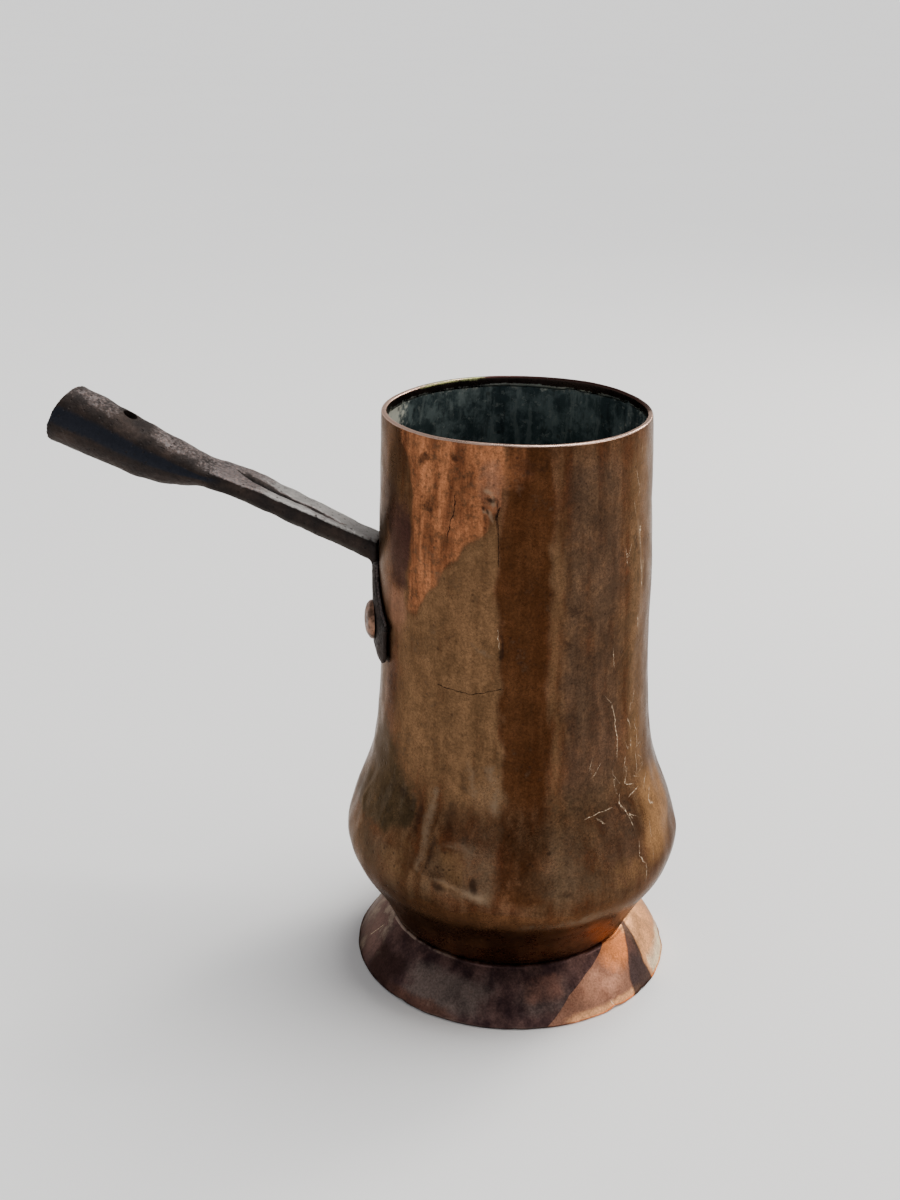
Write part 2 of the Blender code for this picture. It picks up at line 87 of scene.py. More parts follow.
def stand_camera():
    lens = bpy.data.cameras.new("pot_camera")
    lens.sensor_fit = "AUTO"
    lens.sensor_width = SENSOR_WIDTH
    lens.lens = LENS
    lens.clip_start = 0.01
    camera = linked("pot_camera", lens)
    turned_pot = Matrix.Translation((AXIS_X, 0.0, 0.0)) @ Matrix.Rotation(POT_TURN, 4, "Z")
    stand = Matrix.Translation((0.0, -CAMERA_DISTANCE, CAMERA_HEIGHT))
    aim = Matrix.Rotation(-CAMERA_YAW, 4, "Z") @ Matrix.Rotation(math.pi / 2 - CAMERA_PITCH, 4, "X")
    camera.matrix_world = turned_pot @ stand @ aim @ Matrix.Rotation(-CAMERA_ROLL, 4, "Z")
    bpy.context.scene.camera = camera


class Nodes:
    """Short calls for the nodes of one tree."""

    def __init__(self, tree):
        self.tree = tree

    def feed(self, socket, value):
        if isinstance(value, bpy.types.NodeSocket):
            self.tree.links.new(value, socket)
        elif socket.type == "RGBA":
            socket.default_value = (*value, 1.0)
        else:
            socket.default_value = value

    def add(self, kind, values=(), output=0, **settings):
        node = self.tree.nodes.new(kind)
        for key, value in settings.items():
            setattr(node, key, value)
        for socket, value in values:
            self.feed(node.inputs[socket], value)
        return node.outputs[output]

    def math(self, operation, *values):
        return self.add("ShaderNodeMath", enumerate(values), operation=operation)

    def times(self, first, second):
        return self.math("MULTIPLY", first, second)

    def plus(self, total, *parts):
        """The total and each (value, share) pair's product."""
        for value, share in parts:
            total = self.math("MULTIPLY_ADD", value, share, total)
        return total


class Finish(Nodes):
    """A material, with calls for the textures and the coats that the pot's finishes are made of."""

    def __init__(self, name):
        self.material = bpy.data.materials.new(name)
        self.material.use_nodes = True
        super().__init__(self.material.node_tree)
        self.place = self.add("ShaderNodeTexCoord", output="Object")
        self.mottle = None

    def texture(self, kind, values, upright, shift, **settings):
        place = (("Vector", self.place), ("Scale", (1.0, 1.0, upright)), ("Location", (shift, shift, shift)))
        return self.add(kind, (("Vector", self.add("ShaderNodeMapping", place)), *values), **settings)

    def noise(self, scale, detail=3.0, rough=0.55, upright=1.0, shift=0.0):
        values = (("Scale", scale), ("Detail", detail), ("Roughness", rough))
        return self.texture("ShaderNodeTexNoise", values, upright, shift)

    def cells(self, scale, feature="F1", shift=0.0):
        return self.texture("ShaderNodeTexVoronoi", (("Scale", scale),), 1.0, shift, feature=feature)

    def field(self, name):
        return self.add("ShaderNodeAttribute", output="Fac", attribute_name=name)

    def ease(self, value, low, high, first=0.0, last=1.0):
        values = (("Value", value), ("From Min", low), ("From Max", high), ("To Min", first), ("To Max", last))
        return self.add("ShaderNodeMapRange", values, interpolation_type="SMOOTHSTEP")

    def worn(self, name, spread, low, high, most=1.0):
        """A painted field, its edge broken up by the mottle."""
        return self.ease(self.plus(self.field(name), (self.mottle, spread)), low, high, 0.0, most)

    def blend(self, share, first, second, mode="MIX"):
        values = ((0, share), (6, first), (7, second))
        return self.add("ShaderNodeMix", values, output=2, data_type="RGBA", blend_type=mode)

    def coated(self, colour, *coats):
        """The colour under (share, colour) coats, laid on in order."""
        for share, coat in coats:
            colour = self.blend(share, colour, coat)
        return colour

    def shaded(self, colour, shade, *shades):
        """The colour times every shade."""
        for other in shades:
            shade = self.times(shade, other)
        grey = self.add("ShaderNodeCombineColor", ((0, shade), (1, shade), (2, shade)))
        return self.blend(1.0, colour, grey, "MULTIPLY")

    def surface(self, **sockets):
        """Sets the shader's sockets, whose names have underscores for spaces here."""
        shader = self.tree.nodes["Principled BSDF"]
        for name, value in sockets.items():
            self.feed(shader.inputs[name.replace("_", " ")], value)

    def relief(self, height, strength, depth):
        values = (("Height", height), ("Strength", strength), ("Distance", depth))
        self.surface(Normal=self.add("ShaderNodeBump", values))


def lay_table():
    finish = Finish("table_white")
    tone = finish.blend(finish.noise(3.0, 2.0), *TABLE_WHITES)
    finish.surface(Base_Color=tone, Roughness=0.9, Specular_IOR_Level=0.1)
    mesh = bpy.data.meshes.new("table_top")
    half = TABLE_HALF_WIDTH
    mesh.from_pydata([(-half, -half, 0), (half, -half, 0), (half, half, 0), (-half, half, 0)], [], [(0, 1, 2, 3)])
    mesh.materials.append(finish.material)
    table = linked("table_top", mesh)


def light_room():
    world = bpy.data.worlds.new("pale_room")
    world.use_nodes = True
    nodes = Nodes(world.node_tree)
    way = nodes.add("ShaderNodeTexCoord", output="Generated")
    fade = nodes.tree.nodes.new("ShaderNodeValToRGB")
    nodes.feed(fade.inputs[0], nodes.add("ShaderNodeSeparateXYZ", ((0, way),), output="Z"))
    stops = fade.color_ramp.elements
    for place, grey in ROOM_SHADES:
        stops.new(place).color = (grey, grey, grey * ROOM_BLUENESS, 1.0)
    stops.remove(stops[0])
    stops.remove(stops[-1])
    background = nodes.tree.nodes["Background"]
    nodes.feed(background.inputs["Strength"], ROOM_STRENGTH)
    nodes.feed(background.inputs["Color"], fade.outputs["Color"])
    bpy.context.scene.world = world


def hang_lights():
    overhead = bpy.data.lights.new("overhead_soft_light", "SUN")
    overhead.energy = OVERHEAD_POWER
    overhead.angle = OVERHEAD_WIDTH
    overhead.color = OVERHEAD_COLOUR
    linked("overhead_soft_light", overhead).rotation_euler = OVERHEAD_TURN
    for name, azimuth, elevation, distance, size, power, colour in SOFT_LIGHTS:
        turn, rise = math.radians(azimuth), math.radians(elevation)
        away = Vector((math.sin(turn) * math.cos(rise), -math.cos(turn) * math.cos(rise), math.sin(rise)))
        lamp = bpy.data.lights.new(name, "AREA")
        lamp.shape = "SQUARE"
        lamp.size = size
        lamp.energy = power
        lamp.color = colour
        light = linked(name, lamp)
        light.location = LIGHTS_AIM + distance * away
        light.rotation_euler = away.to_track_quat("Z", "Y").to_euler()


stand_camera()
lay_table()
light_room()
hang_lights()

# --- Body ---
# Raised from one copper sheet of 1.2 mm, planished, with its top edge folded inwards and hammered
# flat, and tinned inside. Age has left it brown, with a bared patch, dents, cracks and scratches.
# Its colour also holds painted light: reflections in bands down the front, highlights and shade along its ridges, a
# dark reflection under the belly and a highlight on the rim.
SHEET = 0.0012
JOINT_HEIGHT = 0.0195
LIP_WIDTH = 0.0060
WALL_HEIGHT = (0.0195, 0.0340, 0.0460, 0.0570, 0.0700, 0.0920, 0.1180, 0.1750, 0.2297)
WALL_RADIUS = (0.0488, 0.0564, 0.0640, 0.0668, 0.0638, 0.0562, 0.0530, 0.0520, 0.0500)
MEAN_RADIUS = 0.056
MM_PER_DEGREE = math.radians(1.0) * 1000 * MEAN_RADIUS
RIM_HEIGHT = 0.2297
RIM_CROWN = 0.0009
RIM_SQUARENESS = 0.7
RIM_STEPS = 10
HEM_SHEET = 0.0008
HEM_INSIDE = WALL_RADIUS[-1] - SHEET - HEM_SHEET
HEM_DEPTH = 0.0042
HEM_FOOT = RIM_HEIGHT - HEM_DEPTH
HEM_ROUNDING = 0.0004
BODY_TURN_STEPS = 384
WALL_STEP = 0.0014
INNER_STEP = 0.0045
LEAN = 0.00175
LEAN_SPAN = (0.045, 0.26)
BEND_SEED = 11
# Swells by age and by the hammer: how many, longest and shortest in metres; and their heights. The fine
# ones are stronger on the belly, and all of them begin above the joint.
COARSE_SWELLS = (14, 0.110, 0.035)
COARSE_SWELL_HEIGHT = 0.00020
FINE_SWELLS = (46, 0.024, 0.009)
FINE_SWELL_HEIGHT = 0.000055
BELLY_SWELL = 1.3
BELLY_END = (0.085, 0.125)
SWELL_START_MM = (19.5, 32)
# Where the handle's plate keeps the wall true: limits and softness, in degrees and in millimetres
BEHIND_PLATE_TURNS = (-130, -50, 5, 5)
BEHIND_PLATE_MM = (130.5, 172.5, 4, 4)
# Whole waves round the pot: how many, their height in metres and where they start
RIM_WAVES = ((2, 0.00022, 0.7), (5, 0.00012, 0.0))
HEM_WAVES = ((3, 0.00022, 1.0), (7, 0.00016, 2.3))
HEM_SEED = 5
HEM_NOTCHES = 26
HEM_NOTCH_WIDTHS = (0.8, 4.5)
HEM_NOTCH_RISES = (-0.0002, 0.0009)
FAR = 1000.0
# Where light is painted on the tin near the mouth as pale patches, most of all on the left inner wall: strength,
# limits round the pot, and the heights it grows between
PALE_LINING = (
    (1.0, (-112, -51, 10, 10), (0.188, 0.216)),
    (0.45, (68, 130, 12, 16), (0.196, 0.220)),
    (0.50, (-FAR, FAR, 1, 1), (0.2215, 0.2255)),
)

MIDDLE_BROWN = (0.080, 0.043, 0.022)
DARK_BROWN = (0.050, 0.018, 0.0065)
UNDERSIDE_SHADE_BROWN = (0.084, 0.036, 0.015)
BEIGE_BROWN = (0.122, 0.066, 0.032)
BARE_COPPER = (0.300, 0.115, 0.050)
PINK_COPPER = (0.270, 0.130, 0.078)
RED_BROWN = (0.095, 0.032, 0.015)
PLUM_BROWN = (0.030, 0.013, 0.012)
GREY_BROWN = (0.128, 0.084, 0.050)
OLIVE_BROWN = (0.033, 0.022, 0.011)
HATCHED_BROWN = (0.070, 0.052, 0.033)
DUSKY_BROWN = (0.056, 0.034, 0.022)
OCHRE = (0.260, 0.134, 0.056)
STAIN_AND_SHADE_BROWN = (0.018, 0.009, 0.006)
CRACK_BROWN = (0.014, 0.007, 0.005)
HIGHLIGHT_BROWN = (0.200, 0.138, 0.088)
PALE_GOLD = (0.720, 0.560, 0.390)
ROSE_GOLD = (0.620, 0.420, 0.330)
REFLECTED_GLOW_BROWN = (0.230, 0.108, 0.054)
RIM_BROWN = (0.050, 0.022, 0.020)
HEM_BROWN = (0.036, 0.024, 0.021)
HEM_EDGE_GREY = (0.560, 0.570, 0.510)
GREEN_TARNISH = (0.240, 0.250, 0.110)
EDGE_TINT = (0.66, 0.60, 0.56)

# The tin is dark with age, and its colours are also kept darker as painted shade inside the pot.
DARK_TIN = (0.058, 0.088, 0.094)
MIDDLE_TIN = (0.155, 0.200, 0.200)
LIGHT_TIN = (0.270, 0.320, 0.310)
DEEP_TIN = (0.022, 0.034, 0.036)
FLECK_TIN = (0.360, 0.400, 0.370)
PALE_TIN = (0.800, 0.810, 0.700)
SPOT_TIN = (0.030, 0.038, 0.034)


def smooth_curve(at, value, place):
    """A smooth curve through the stations, with slopes from their neighbours."""
    at, value, place = (np.asarray(numbers, float) for numbers in (at, value, place))
    run = np.diff(at)
    grade = np.diff(value) / run
    inner = (grade[:-1] * run[1:] + grade[1:] * run[:-1]) / (run[:-1] + run[1:])
    slope = np.concatenate(([2 * grade[0] - inner[0]], inner, [2 * grade[-1] - inner[-1]]))
    i = np.clip(np.searchsorted(at, place, side="right") - 1, 0, len(run) - 1)
    t = (place - at[i]) / run[i]
    return (
        (2 * t**3 - 3 * t**2 + 1) * value[i]
        + (t**3 - 2 * t**2 + t) * run[i] * slope[i]
        + (3 * t**2 - 2 * t**3) * value[i + 1]
        + (t**3 - t**2) * run[i] * slope[i + 1]
    )


def wall_radius(height):
    return smooth_curve(WALL_HEIGHT, WALL_RADIUS, height)


def inner_radius(height):
    grade = (wall_radius(height + 1e-5) - wall_radius(height - 1e-5)) / 2e-5
    return wall_radius(height) - SHEET * np.hypot(1.0, grade)


def eased(value, low, high):
    share = np.clip((value - low) / (high - low), 0.0, 1.0)
    return share * share * (3 - 2 * share)


def between(value, low, high, soft_low, soft_high):
    """1 between two limits and 0 outside them, with its own softness at each."""
    return eased(value, low - soft_low, low + soft_low) * (1 - eased(value, high - soft_high, high + soft_high))


def turned_away(turn, at):
    """Difference between two azimuths in degrees, the short way round."""
    return (turn - at + 180.0) % 360.0 - 180.0


def round_pot(turn, low, high, soft_low, soft_high):
    """between() for azimuths, measured the short way round from the middle of the limits."""
    middle = (low + high) / 2
    return between(turned_away(turn, middle), low - middle, high - middle, soft_low, soft_high)


def ripples(turn, height, seed, count, longest, shortest):
    """A smooth random swell round the pot, about -1 to 1, with wavelengths in metres."""
    draw = np.random.default_rng(seed)
    total = np.zeros_like(height)
    for _ in range(count):
        length = shortest * (longest / shortest) ** draw.random()
        lie = draw.random() * math.pi
        rounds = round(2 * math.pi * MEAN_RADIUS * math.cos(lie) / length)
        rise = 2 * math.pi * math.sin(lie) / length
        total += np.cos(rounds * np.radians(turn) + rise * height + draw.random() * 2 * math.pi)
    return total / math.sqrt(count)


def from_segment(turn, mm, first, last):
    """Distance from a line over the wall in millimetres, and the same with a sign for its side."""
    ax, ay = turned_away(turn, first[0]) * MM_PER_DEGREE, mm - first[1]
    bx, by = turned_away(last[0], first[0]) * MM_PER_DEGREE, last[1] - first[1]
    length = math.hypot(bx, by)
    share = np.clip((ax * bx + ay * by) / length**2, 0, 1)
    return np.hypot(ax - share * bx, ay - share * by), (ax * by - ay * bx) / length


def drawn(turn, mm, points, width):
    """1 along a path over the wall, fading with its half width in millimetres."""
    gap = np.minimum.reduce([from_segment(turn, mm, *ends)[0] for ends in zip(points, points[1:])])
    return np.exp(-((gap / width) ** 2))


def spot(turn, mm, at_turn, at_height, across, up):
    """1 at a place on the wall, fading with its reach round and up in millimetres."""
    aside = turned_away(turn, at_turn) * MM_PER_DEGREE / across
    return np.exp(-(aside**2) - ((mm - at_height) / up) ** 2)


# Dents: azimuth in degrees, height, reach round and up in millimetres, and depth in millimetres
DENTS = (
    (-10, 155, 6, 4, 0.45),
    (-12, 106, 9, 10, 0.30),
    (-36, 88, 8, 9, 0.55),
    (-45, 78, 7, 7, 0.40),
    (-60, 76, 5, 7, 0.45),
    (-18, 72, 7, 6, 0.60),
    (-5, 66, 4, 4, 0.35),
    (24, 70, 8, 8, 0.40),
    (36, 84, 8, 6, 0.25),
    (54, 92, 7, 7, 0.30),
    (-4, 211, 4, 3, 0.45),
    (-30, 212, 7, 8, 0.25),
    (31, 163, 6, 8, 0.20),
    (118, 82, 9, 7, 0.55),
    (160, 120, 12, 14, 0.45),
    (196, 70, 8, 6, 0.55),
    (228, 101, 10, 9, 0.45),
    (150, 196, 12, 12, 0.35),
    (214, 182, 9, 14, 0.35),
)

# Ridges and creases: points of (azimuth, height), half width and height in millimetres, inwards if negative
RIDGES = (
    (((-25.4, 94), (-26.2, 87), (-26.6, 80), (-26.2, 72), (-27.3, 66.4)), 1.9, 0.42),
    (((-27.3, 66.4), (-24.6, 63.5), (-17, 63.5), (-10, 61.6), (-6.4, 60.2)), 1.5, 0.32),
    (((-9, 76), (-9.5, 66)), 1.6, 0.20),
    (((-10, 110), (-13, 104), (-12, 96)), 2.6, 0.30),
    (((-62, 86), (-66, 76), (-61, 66)), 2.2, 0.35),
    (((-9, 214), (-5, 212.5), (-2, 210), (-3.5, 206)), 1.2, -0.55),
    (((-2, 206), (-1, 198), (-2, 189)), 1.3, -0.25),
    (((0, 160), (0.5, 156), (0, 150)), 1.2, 0.22),
    (((10, 50), (22, 49), (36, 50)), 2.2, 0.20),
    (((150, 74), (160, 66), (172, 64)), 2.4, 0.40),
    (((210, 108), (216, 98), (214, 86)), 2.6, 0.40),
)


def wall_bend(turn, height):
    """How far age and the hammer have moved the wall outwards, in metres; not at the joint or behind the plate."""
    mm = height * 1000
    coarse = ripples(turn, height, BEND_SEED, *COARSE_SWELLS) * COARSE_SWELL_HEIGHT
    fine = ripples(turn, height, BEND_SEED + 1, *FINE_SWELLS) * FINE_SWELL_HEIGHT
    bend = coarse + fine * (1.0 + BELLY_SWELL * (1 - eased(height, *BELLY_END)))
    for *place, depth in DENTS:
        bend = bend - 0.001 * depth * spot(turn, mm, *place)
    for points, width, rise in RIDGES:
        bend = bend + 0.001 * rise * drawn(turn, mm, points, width)
    behind_plate = round_pot(turn, *BEHIND_PLATE_TURNS) * between(mm, *BEHIND_PLATE_MM)
    return bend * eased(mm, *SWELL_START_MM) * (1 - behind_plate)


def lean(height):
    """The pot has settled towards its handle: the wall's middle moves this far along X."""
    return -LEAN * eased(np.asarray(height, float), *LEAN_SPAN)


class Form(Nodes):
    """A Geometry Nodes tree that ends in one real mesh of one metal."""

    def __init__(self, name, **inputs):
        super().__init__(bpy.data.node_groups.new(name, "GeometryNodeTree"))
        make = self.tree.interface.new_socket
        self.keys = {
            key: make(key.replace("_", " "), in_out="INPUT", socket_type="NodeSocket" + kind).identifier
            for key, kind in inputs.items()
        }
        make("Result", in_out="OUTPUT", socket_type="NodeSocketGeometry")
        given = self.tree.nodes.new("NodeGroupInput").outputs
        self.given = {key: given[key.replace("_", " ")] for key in inputs}

    def place(self, x, y, z):
        return self.add("ShaderNodeCombineXYZ", enumerate((x, y, z)))

    def split(self, vector):
        return self.add("ShaderNodeSeparateXYZ", ((0, vector),), output=slice(3))

    def moved(self, geometry, *position):
        values = (("Geometry", geometry), ("Position", self.place(*position)))
        return self.add("GeometryNodeSetPosition", values)

    def welded(self, geometry, distance):
        return self.add("GeometryNodeMergeByDistance", (("Geometry", geometry), ("Distance", distance)))

    def finished(self, geometry):
        real = self.add("GeometryNodeRealizeInstances", ((0, geometry),))
        coated = self.add("GeometryNodeSetMaterial", (("Geometry", real), ("Material", self.given["Metal"])))
        self.feed(self.tree.nodes.new("NodeGroupOutput").inputs[0], coated)
        return self

    def grow(self, made, **settings):
        """Gives the object the tree's result as its plain mesh."""
        modifier = made.modifiers.new("Made", "NODES")
        modifier.node_group = self.tree
        for key, value in settings.items():
            modifier[self.keys[key]] = value
        return applied(made)


def applied(made):
    """Makes the object's modifiers into its plain mesh."""
    bpy.context.view_layer.update()
    evaluated = made.evaluated_get(bpy.context.evaluated_depsgraph_get())
    mesh = bpy.data.meshes.new_from_object(evaluated)
    made.modifiers.clear()
    made.data = mesh
    mesh.name = made.name
    return mesh


def turning_form():
    """Turns a profile wire round the Z axis, in columns of as many points as the profile has."""
    form = Form(
        "turned_sheet", Profile="Geometry", Turn_Steps="Int", Profile_Points="Int", Seam_Distance="Float",
        Metal="Material",
    )
    rows, steps = form.given["Profile_Points"], form.given["Turn_Steps"]
    columns = form.math("ADD", steps, 1.0)
    grid = form.add("GeometryNodeMeshGrid", (("Vertices X", columns), ("Vertices Y", rows)))
    index = form.add("GeometryNodeInputIndex")
    angle = form.times(form.math("DIVIDE", form.math("FLOOR", form.math("DIVIDE", index, rows)), steps), 2 * math.pi)
    position = form.add("GeometryNodeInputPosition")
    row = form.math("MODULO", index, rows)
    values = (("Geometry", form.given["Profile"]), ("Value", position), ("Index", row))
    radius, _, height = form.split(form.add("GeometryNodeSampleIndex", values, data_type="FLOAT_VECTOR"))
    x, y = (form.times(radius, form.math(way, angle)) for way in ("COSINE", "SINE"))
    return form.finished(form.welded(form.moved(grid, x, y, height), form.given["Seam_Distance"]))


TURNING = turning_form()


def turned(name, profile, steps, metal):
    wire = bpy.data.meshes.new(name)
    wire.from_pydata([(radius, 0.0, height) for radius, height in profile], [], [])
    made = linked(name, wire)
    TURNING.grow(made, Turn_Steps=steps, Profile_Points=len(profile), Seam_Distance=1e-6, Metal=metal)
    return made


def points_of(mesh):
    points = np.empty(len(mesh.vertices) * 3, np.float32)
    mesh.vertices.foreach_get("co", points)
    return points.reshape(-1, 3).astype(float)


def measured(mesh):
    """Each point, its azimuth in degrees (0 at the front, growing to the right), its height and its radius."""
    points = points_of(mesh)
    turn = np.degrees(np.arctan2(points[:, 0], -points[:, 1]))
    return points, turn, points[:, 2].copy(), np.hypot(points[:, 0], points[:, 1])


def push_out(points, turn, bend):
    points[:, 0] += bend * np.sin(np.radians(turn))
    points[:, 1] -= bend * np.cos(np.radians(turn))


def set_down(mesh, points):
    """Puts the points back into the mesh, moved from the middle to the pot's place."""
    points[:, 0] += AXIS_X
    mesh.vertices.foreach_set("co", points.astype(np.float32).ravel())
    mesh.update()


def close_up(mesh, crease):
    """Faces outwards and smooth, with edges sharper than the crease angle kept."""
    work = bmesh.new()
    work.from_mesh(mesh)
    bmesh.ops.dissolve_degenerate(work, edges=work.edges, dist=1e-8)
    bmesh.ops.recalc_face_normals(work, faces=work.faces)
    work.to_mesh(mesh)
    work.free()
    mesh.shade_smooth()
    mesh.set_sharp_from_angle(angle=math.radians(crease))


def paint(mesh, **fields):
    for name, values in fields.items():
        layer = mesh.attributes.new(name, "FLOAT", "POINT")
        layer.data.foreach_set("value", np.asarray(values, np.float32))


def body_profile():
    lip_top = JOINT_HEIGHT + SHEET
    bottom = lip_top + SHEET / 2
    count = int((HEM_FOOT - bottom) / WALL_STEP)
    outside = [(wall_radius(h), h) for h in np.linspace(HEM_FOOT, bottom, count)]
    angles = [-math.pi / 2 * i / 5 for i in range(6)]
    corner = WALL_RADIUS[0] - SHEET
    outside += [(corner + SHEET * math.cos(a), lip_top + SHEET * math.sin(a)) for a in angles]
    edge = WALL_RADIUS[0] - LIP_WIDTH
    lip = [(edge, JOINT_HEIGHT), (edge, lip_top), (inner_radius(lip_top), lip_top)]
    count = int((HEM_FOOT - lip_top) / INNER_STEP)
    inside = [(inner_radius(h), h) for h in np.linspace(bottom, HEM_FOOT, count)]
    hem = [(HEM_INSIDE + HEM_ROUNDING, HEM_FOOT)]
    hem += [(HEM_INSIDE, HEM_FOOT + rise) for rise in (HEM_ROUNDING, 2 * HEM_ROUNDING, HEM_DEPTH / 2)]
    middle, half = (WALL_RADIUS[-1] + HEM_INSIDE) / 2, (WALL_RADIUS[-1] - HEM_INSIDE) / 2
    top = []
    for i in range(RIM_STEPS + 1):
        angle = math.pi * (1 - i / RIM_STEPS)
        out = math.copysign(abs(math.cos(angle)) ** RIM_SQUARENESS, math.cos(angle))
        top.append((middle + half * out, RIM_HEIGHT - RIM_CROWN + RIM_CROWN * math.sin(angle)))
    loop = outside + lip + inside + hem + top
    return loop + [loop[0]]


def waved(turn, waves):
    return sum(high * np.cos(count * np.radians(turn) + start) for count, high, start in waves)


def hem_rag(turn):
    """How far the hem's cut edge hangs below or above its mean line, in metres: cut by eye, and notched."""
    draw = np.random.default_rng(HEM_SEED)
    rag = waved(turn, HEM_WAVES)
    for _ in range(HEM_NOTCHES):
        at, width, rise = (draw.uniform(*span) for span in ((-180, 180), HEM_NOTCH_WIDTHS, HEM_NOTCH_RISES))
        rag = rag + rise * (1 - eased(np.abs(turned_away(turn, at)), width * 0.6, width))
    return rag


# Dark stains and pitted spots: azimuth, height, reach round and up in millimetres, and strength
STAINS = (
    (-33.8, 220.4, 4.0, 3.2, 0.95),
    (-32.3, 212.5, 2.8, 2.4, 0.85),
    (-31.0, 204.4, 3.0, 2.6, 0.70),
    (-18.9, 222.0, 2.0, 1.6, 0.80),
    (-36, 196, 2.0, 4.0, 0.50),
    (-5, 210, 3.0, 2.2, 0.60),
    (0, 154, 1.2, 4.5, 0.70),
    (31, 167, 6.5, 4.0, 0.62),
    (27, 158, 3.0, 4.0, 0.66),
    (37, 152, 2.0, 4.0, 0.55),
    (34, 195, 1.6, 1.6, 0.85),
    (12, 223, 14.0, 4.0, 0.50),
    # The three spots low on the belly, 61 to 66 mm up, are painted shade in and beside the dents there.
    (-19.8, 61.2, 2.0, 2.0, 1.00),
    (-25.0, 65.5, 1.5, 1.5, 0.90),
    (-6.5, 64.8, 1.6, 3.2, 1.00),
    (18, 77, 1.1, 1.1, 1.10),
    (24, 62, 3.0, 2.0, 0.65),
    (-44, 90, 10.0, 5.0, 0.55),
    (-60, 152, 7.0, 9.0, 0.50),
    (66, 186, 3.0, 7.0, 0.40),
    (112, 150, 10.0, 16.0, 0.50),
    (170, 96, 12.0, 8.0, 0.50),
    (205, 140, 6.0, 12.0, 0.50),
    (236, 190, 9.0, 7.0, 0.50),
    (-92, 122, 16.0, 6.0, 0.60),
)

# Painted highlights along ridges and edges, then painted shade beside ridges and in creases: points of (azimuth,
# height), half width in millimetres, strength
HIGHLIGHT_LINES = (
    (((-25.2, 95), (-26.0, 88), (-26.8, 81), (-26.0, 75), (-26.6, 70), (-27.3, 66.4)), 2.3, 0.78),
    (((-27.3, 66.4), (-24.6, 63.5), (-17.1, 63.6), (-10.2, 61.6), (-6.4, 60.2)), 1.2, 0.66),
    (((-9.0, 61.4), (-5.0, 59.8)), 2.3, 0.85),
    (((-8.5, 77), (-8.8, 66)), 1.7, 0.38),
    (((-23, 74.5), (-19, 77), (-12, 77.4), (-6, 75)), 1.3, 0.42),
    (((-12.4, 109.6), (-10.6, 103), (-9.4, 96.3)), 2.0, 0.50),
    (((-3.5, 107), (-0.8, 100), (-1.4, 91)), 2.8, 0.60),
    (((11, 46.5), (22, 46.0), (33, 46.6), (48, 46.5)), 3.0, 0.62),
    (((-64, 84), (-67, 76), (-61, 68)), 1.2, 0.60),
    (((-7, 213), (-4.5, 212), (-3.5, 208)), 1.0, 1.0),
    (((-7.5, 206), (-5, 205.5), (-3.8, 203)), 0.8, 0.9),
    (((65, 196), (67, 186), (68, 176), (68.5, 150)), 1.0, 0.75),
    (((-12, 156), (-8, 153), (-3, 152)), 1.2, 0.40),
    (((200, 84), (206, 74), (204, 66)), 1.6, 0.6),
    (((128, 96), (132, 86), (140, 82)), 1.6, 0.6),
)
SHADE_LINES = (
    (((-23.0, 78), (-23.4, 72), (-24.6, 66.6)), 1.2, 0.80),
    (((-32.4, 92), (-31.0, 87), (-31.6, 79)), 2.0, 0.55),
    (((-14.5, 103), (-14, 96)), 1.2, 0.35),
    (((-6, 79.8), (-14, 81), (-22, 80)), 2.8, 0.36),
    (((-17, 91), (-19, 86), (-18, 82)), 3.2, 0.45),
    (((-5.8, 210.5), (-4.6, 209.8)), 1.0, 1.0),
    (((-8.2, 207.5), (-6.5, 206.6), (-5.5, 205.2)), 0.5, 1.0),
    (((-1.6, 210), (-2.4, 205), (-1.2, 197)), 0.5, 0.7),
    (((48.5, 88), (50.5, 84), (55.5, 84), (57.5, 87)), 0.7, 0.8),
    (((0.2, 161), (1.0, 156), (0.5, 151)), 0.6, 0.8),
)

# Scratches and hairline cracks: two ends as (azimuth, height), half width in millimetres
GOLD_SCRATCHES = (
    ((46.5, 130.9), (48.6, 128.9), 0.15),
    ((50.3, 126.0), (51.8, 120.6), 0.17),
    ((51.4, 118.9), (52.3, 114.4), 0.17),
    ((52.6, 113.0), (52.0, 106.2), 0.19),
    ((56.7, 102.7), (55.3, 99.3), 0.18),
    ((57.4, 98.2), (55.7, 94.0), 0.22),
    ((56.0, 93.2), (59.5, 92.0), 0.17),
    ((51.3, 90.7), (50.4, 88.4), 0.19),
    ((50.4, 88.0), (51.2, 86.0), 0.24),
    ((52.6, 84.6), (54.0, 79.0), 0.20),
    ((61.7, 89.4), (57.5, 88.4), 0.22),
    ((70.5, 90.9), (67.7, 88.3), 0.24),
    ((66.0, 94.5), (70.0, 96.0), 0.17),
    ((70.8, 85.2), (68.2, 82.2), 0.22),
    ((68.0, 81.3), (70.0, 80.4), 0.26),
    ((44.9, 87.4), (41.6, 87.3), 0.14),
    ((39.6, 87.2), (34.5, 86.4), 0.15),
    ((39.7, 84.4), (40.2, 84.0), 0.26),
    ((54.6, 66.9), (55.4, 64.3), 0.18),
    ((56.8, 61.4), (56.5, 56.2), 0.17),
    ((65.2, 127.6), (64.2, 124.6), 0.16),
    ((62.2, 123.3), (61.9, 121.8), 0.14),
    ((60.5, 117.0), (61.0, 116.0), 0.26),
    ((65.3, 115.4), (65.0, 112.0), 0.14),
    ((61.6, 108.3), (61.3, 105.9), 0.20),
    ((64, 214), (65.5, 209), 0.13),
    ((62, 203), (63, 199), 0.13),
    ((66.5, 192), (67.5, 186), 0.15),
    ((67, 180), (68.5, 174), 0.20),
    ((69.5, 178), (68.8, 171), 0.17),
    ((56, 186), (56.5, 182), 0.12),
    ((66.5, 158), (67, 155), 0.20),
    ((50, 148), (50.6, 144), 0.12),
    ((-1.0, 161), (-0.5, 157), 0.20),
    ((142, 132), (150, 118), 0.18),
    ((188, 176), (191, 150), 0.16),
    ((232, 92), (240, 84), 0.20),
)
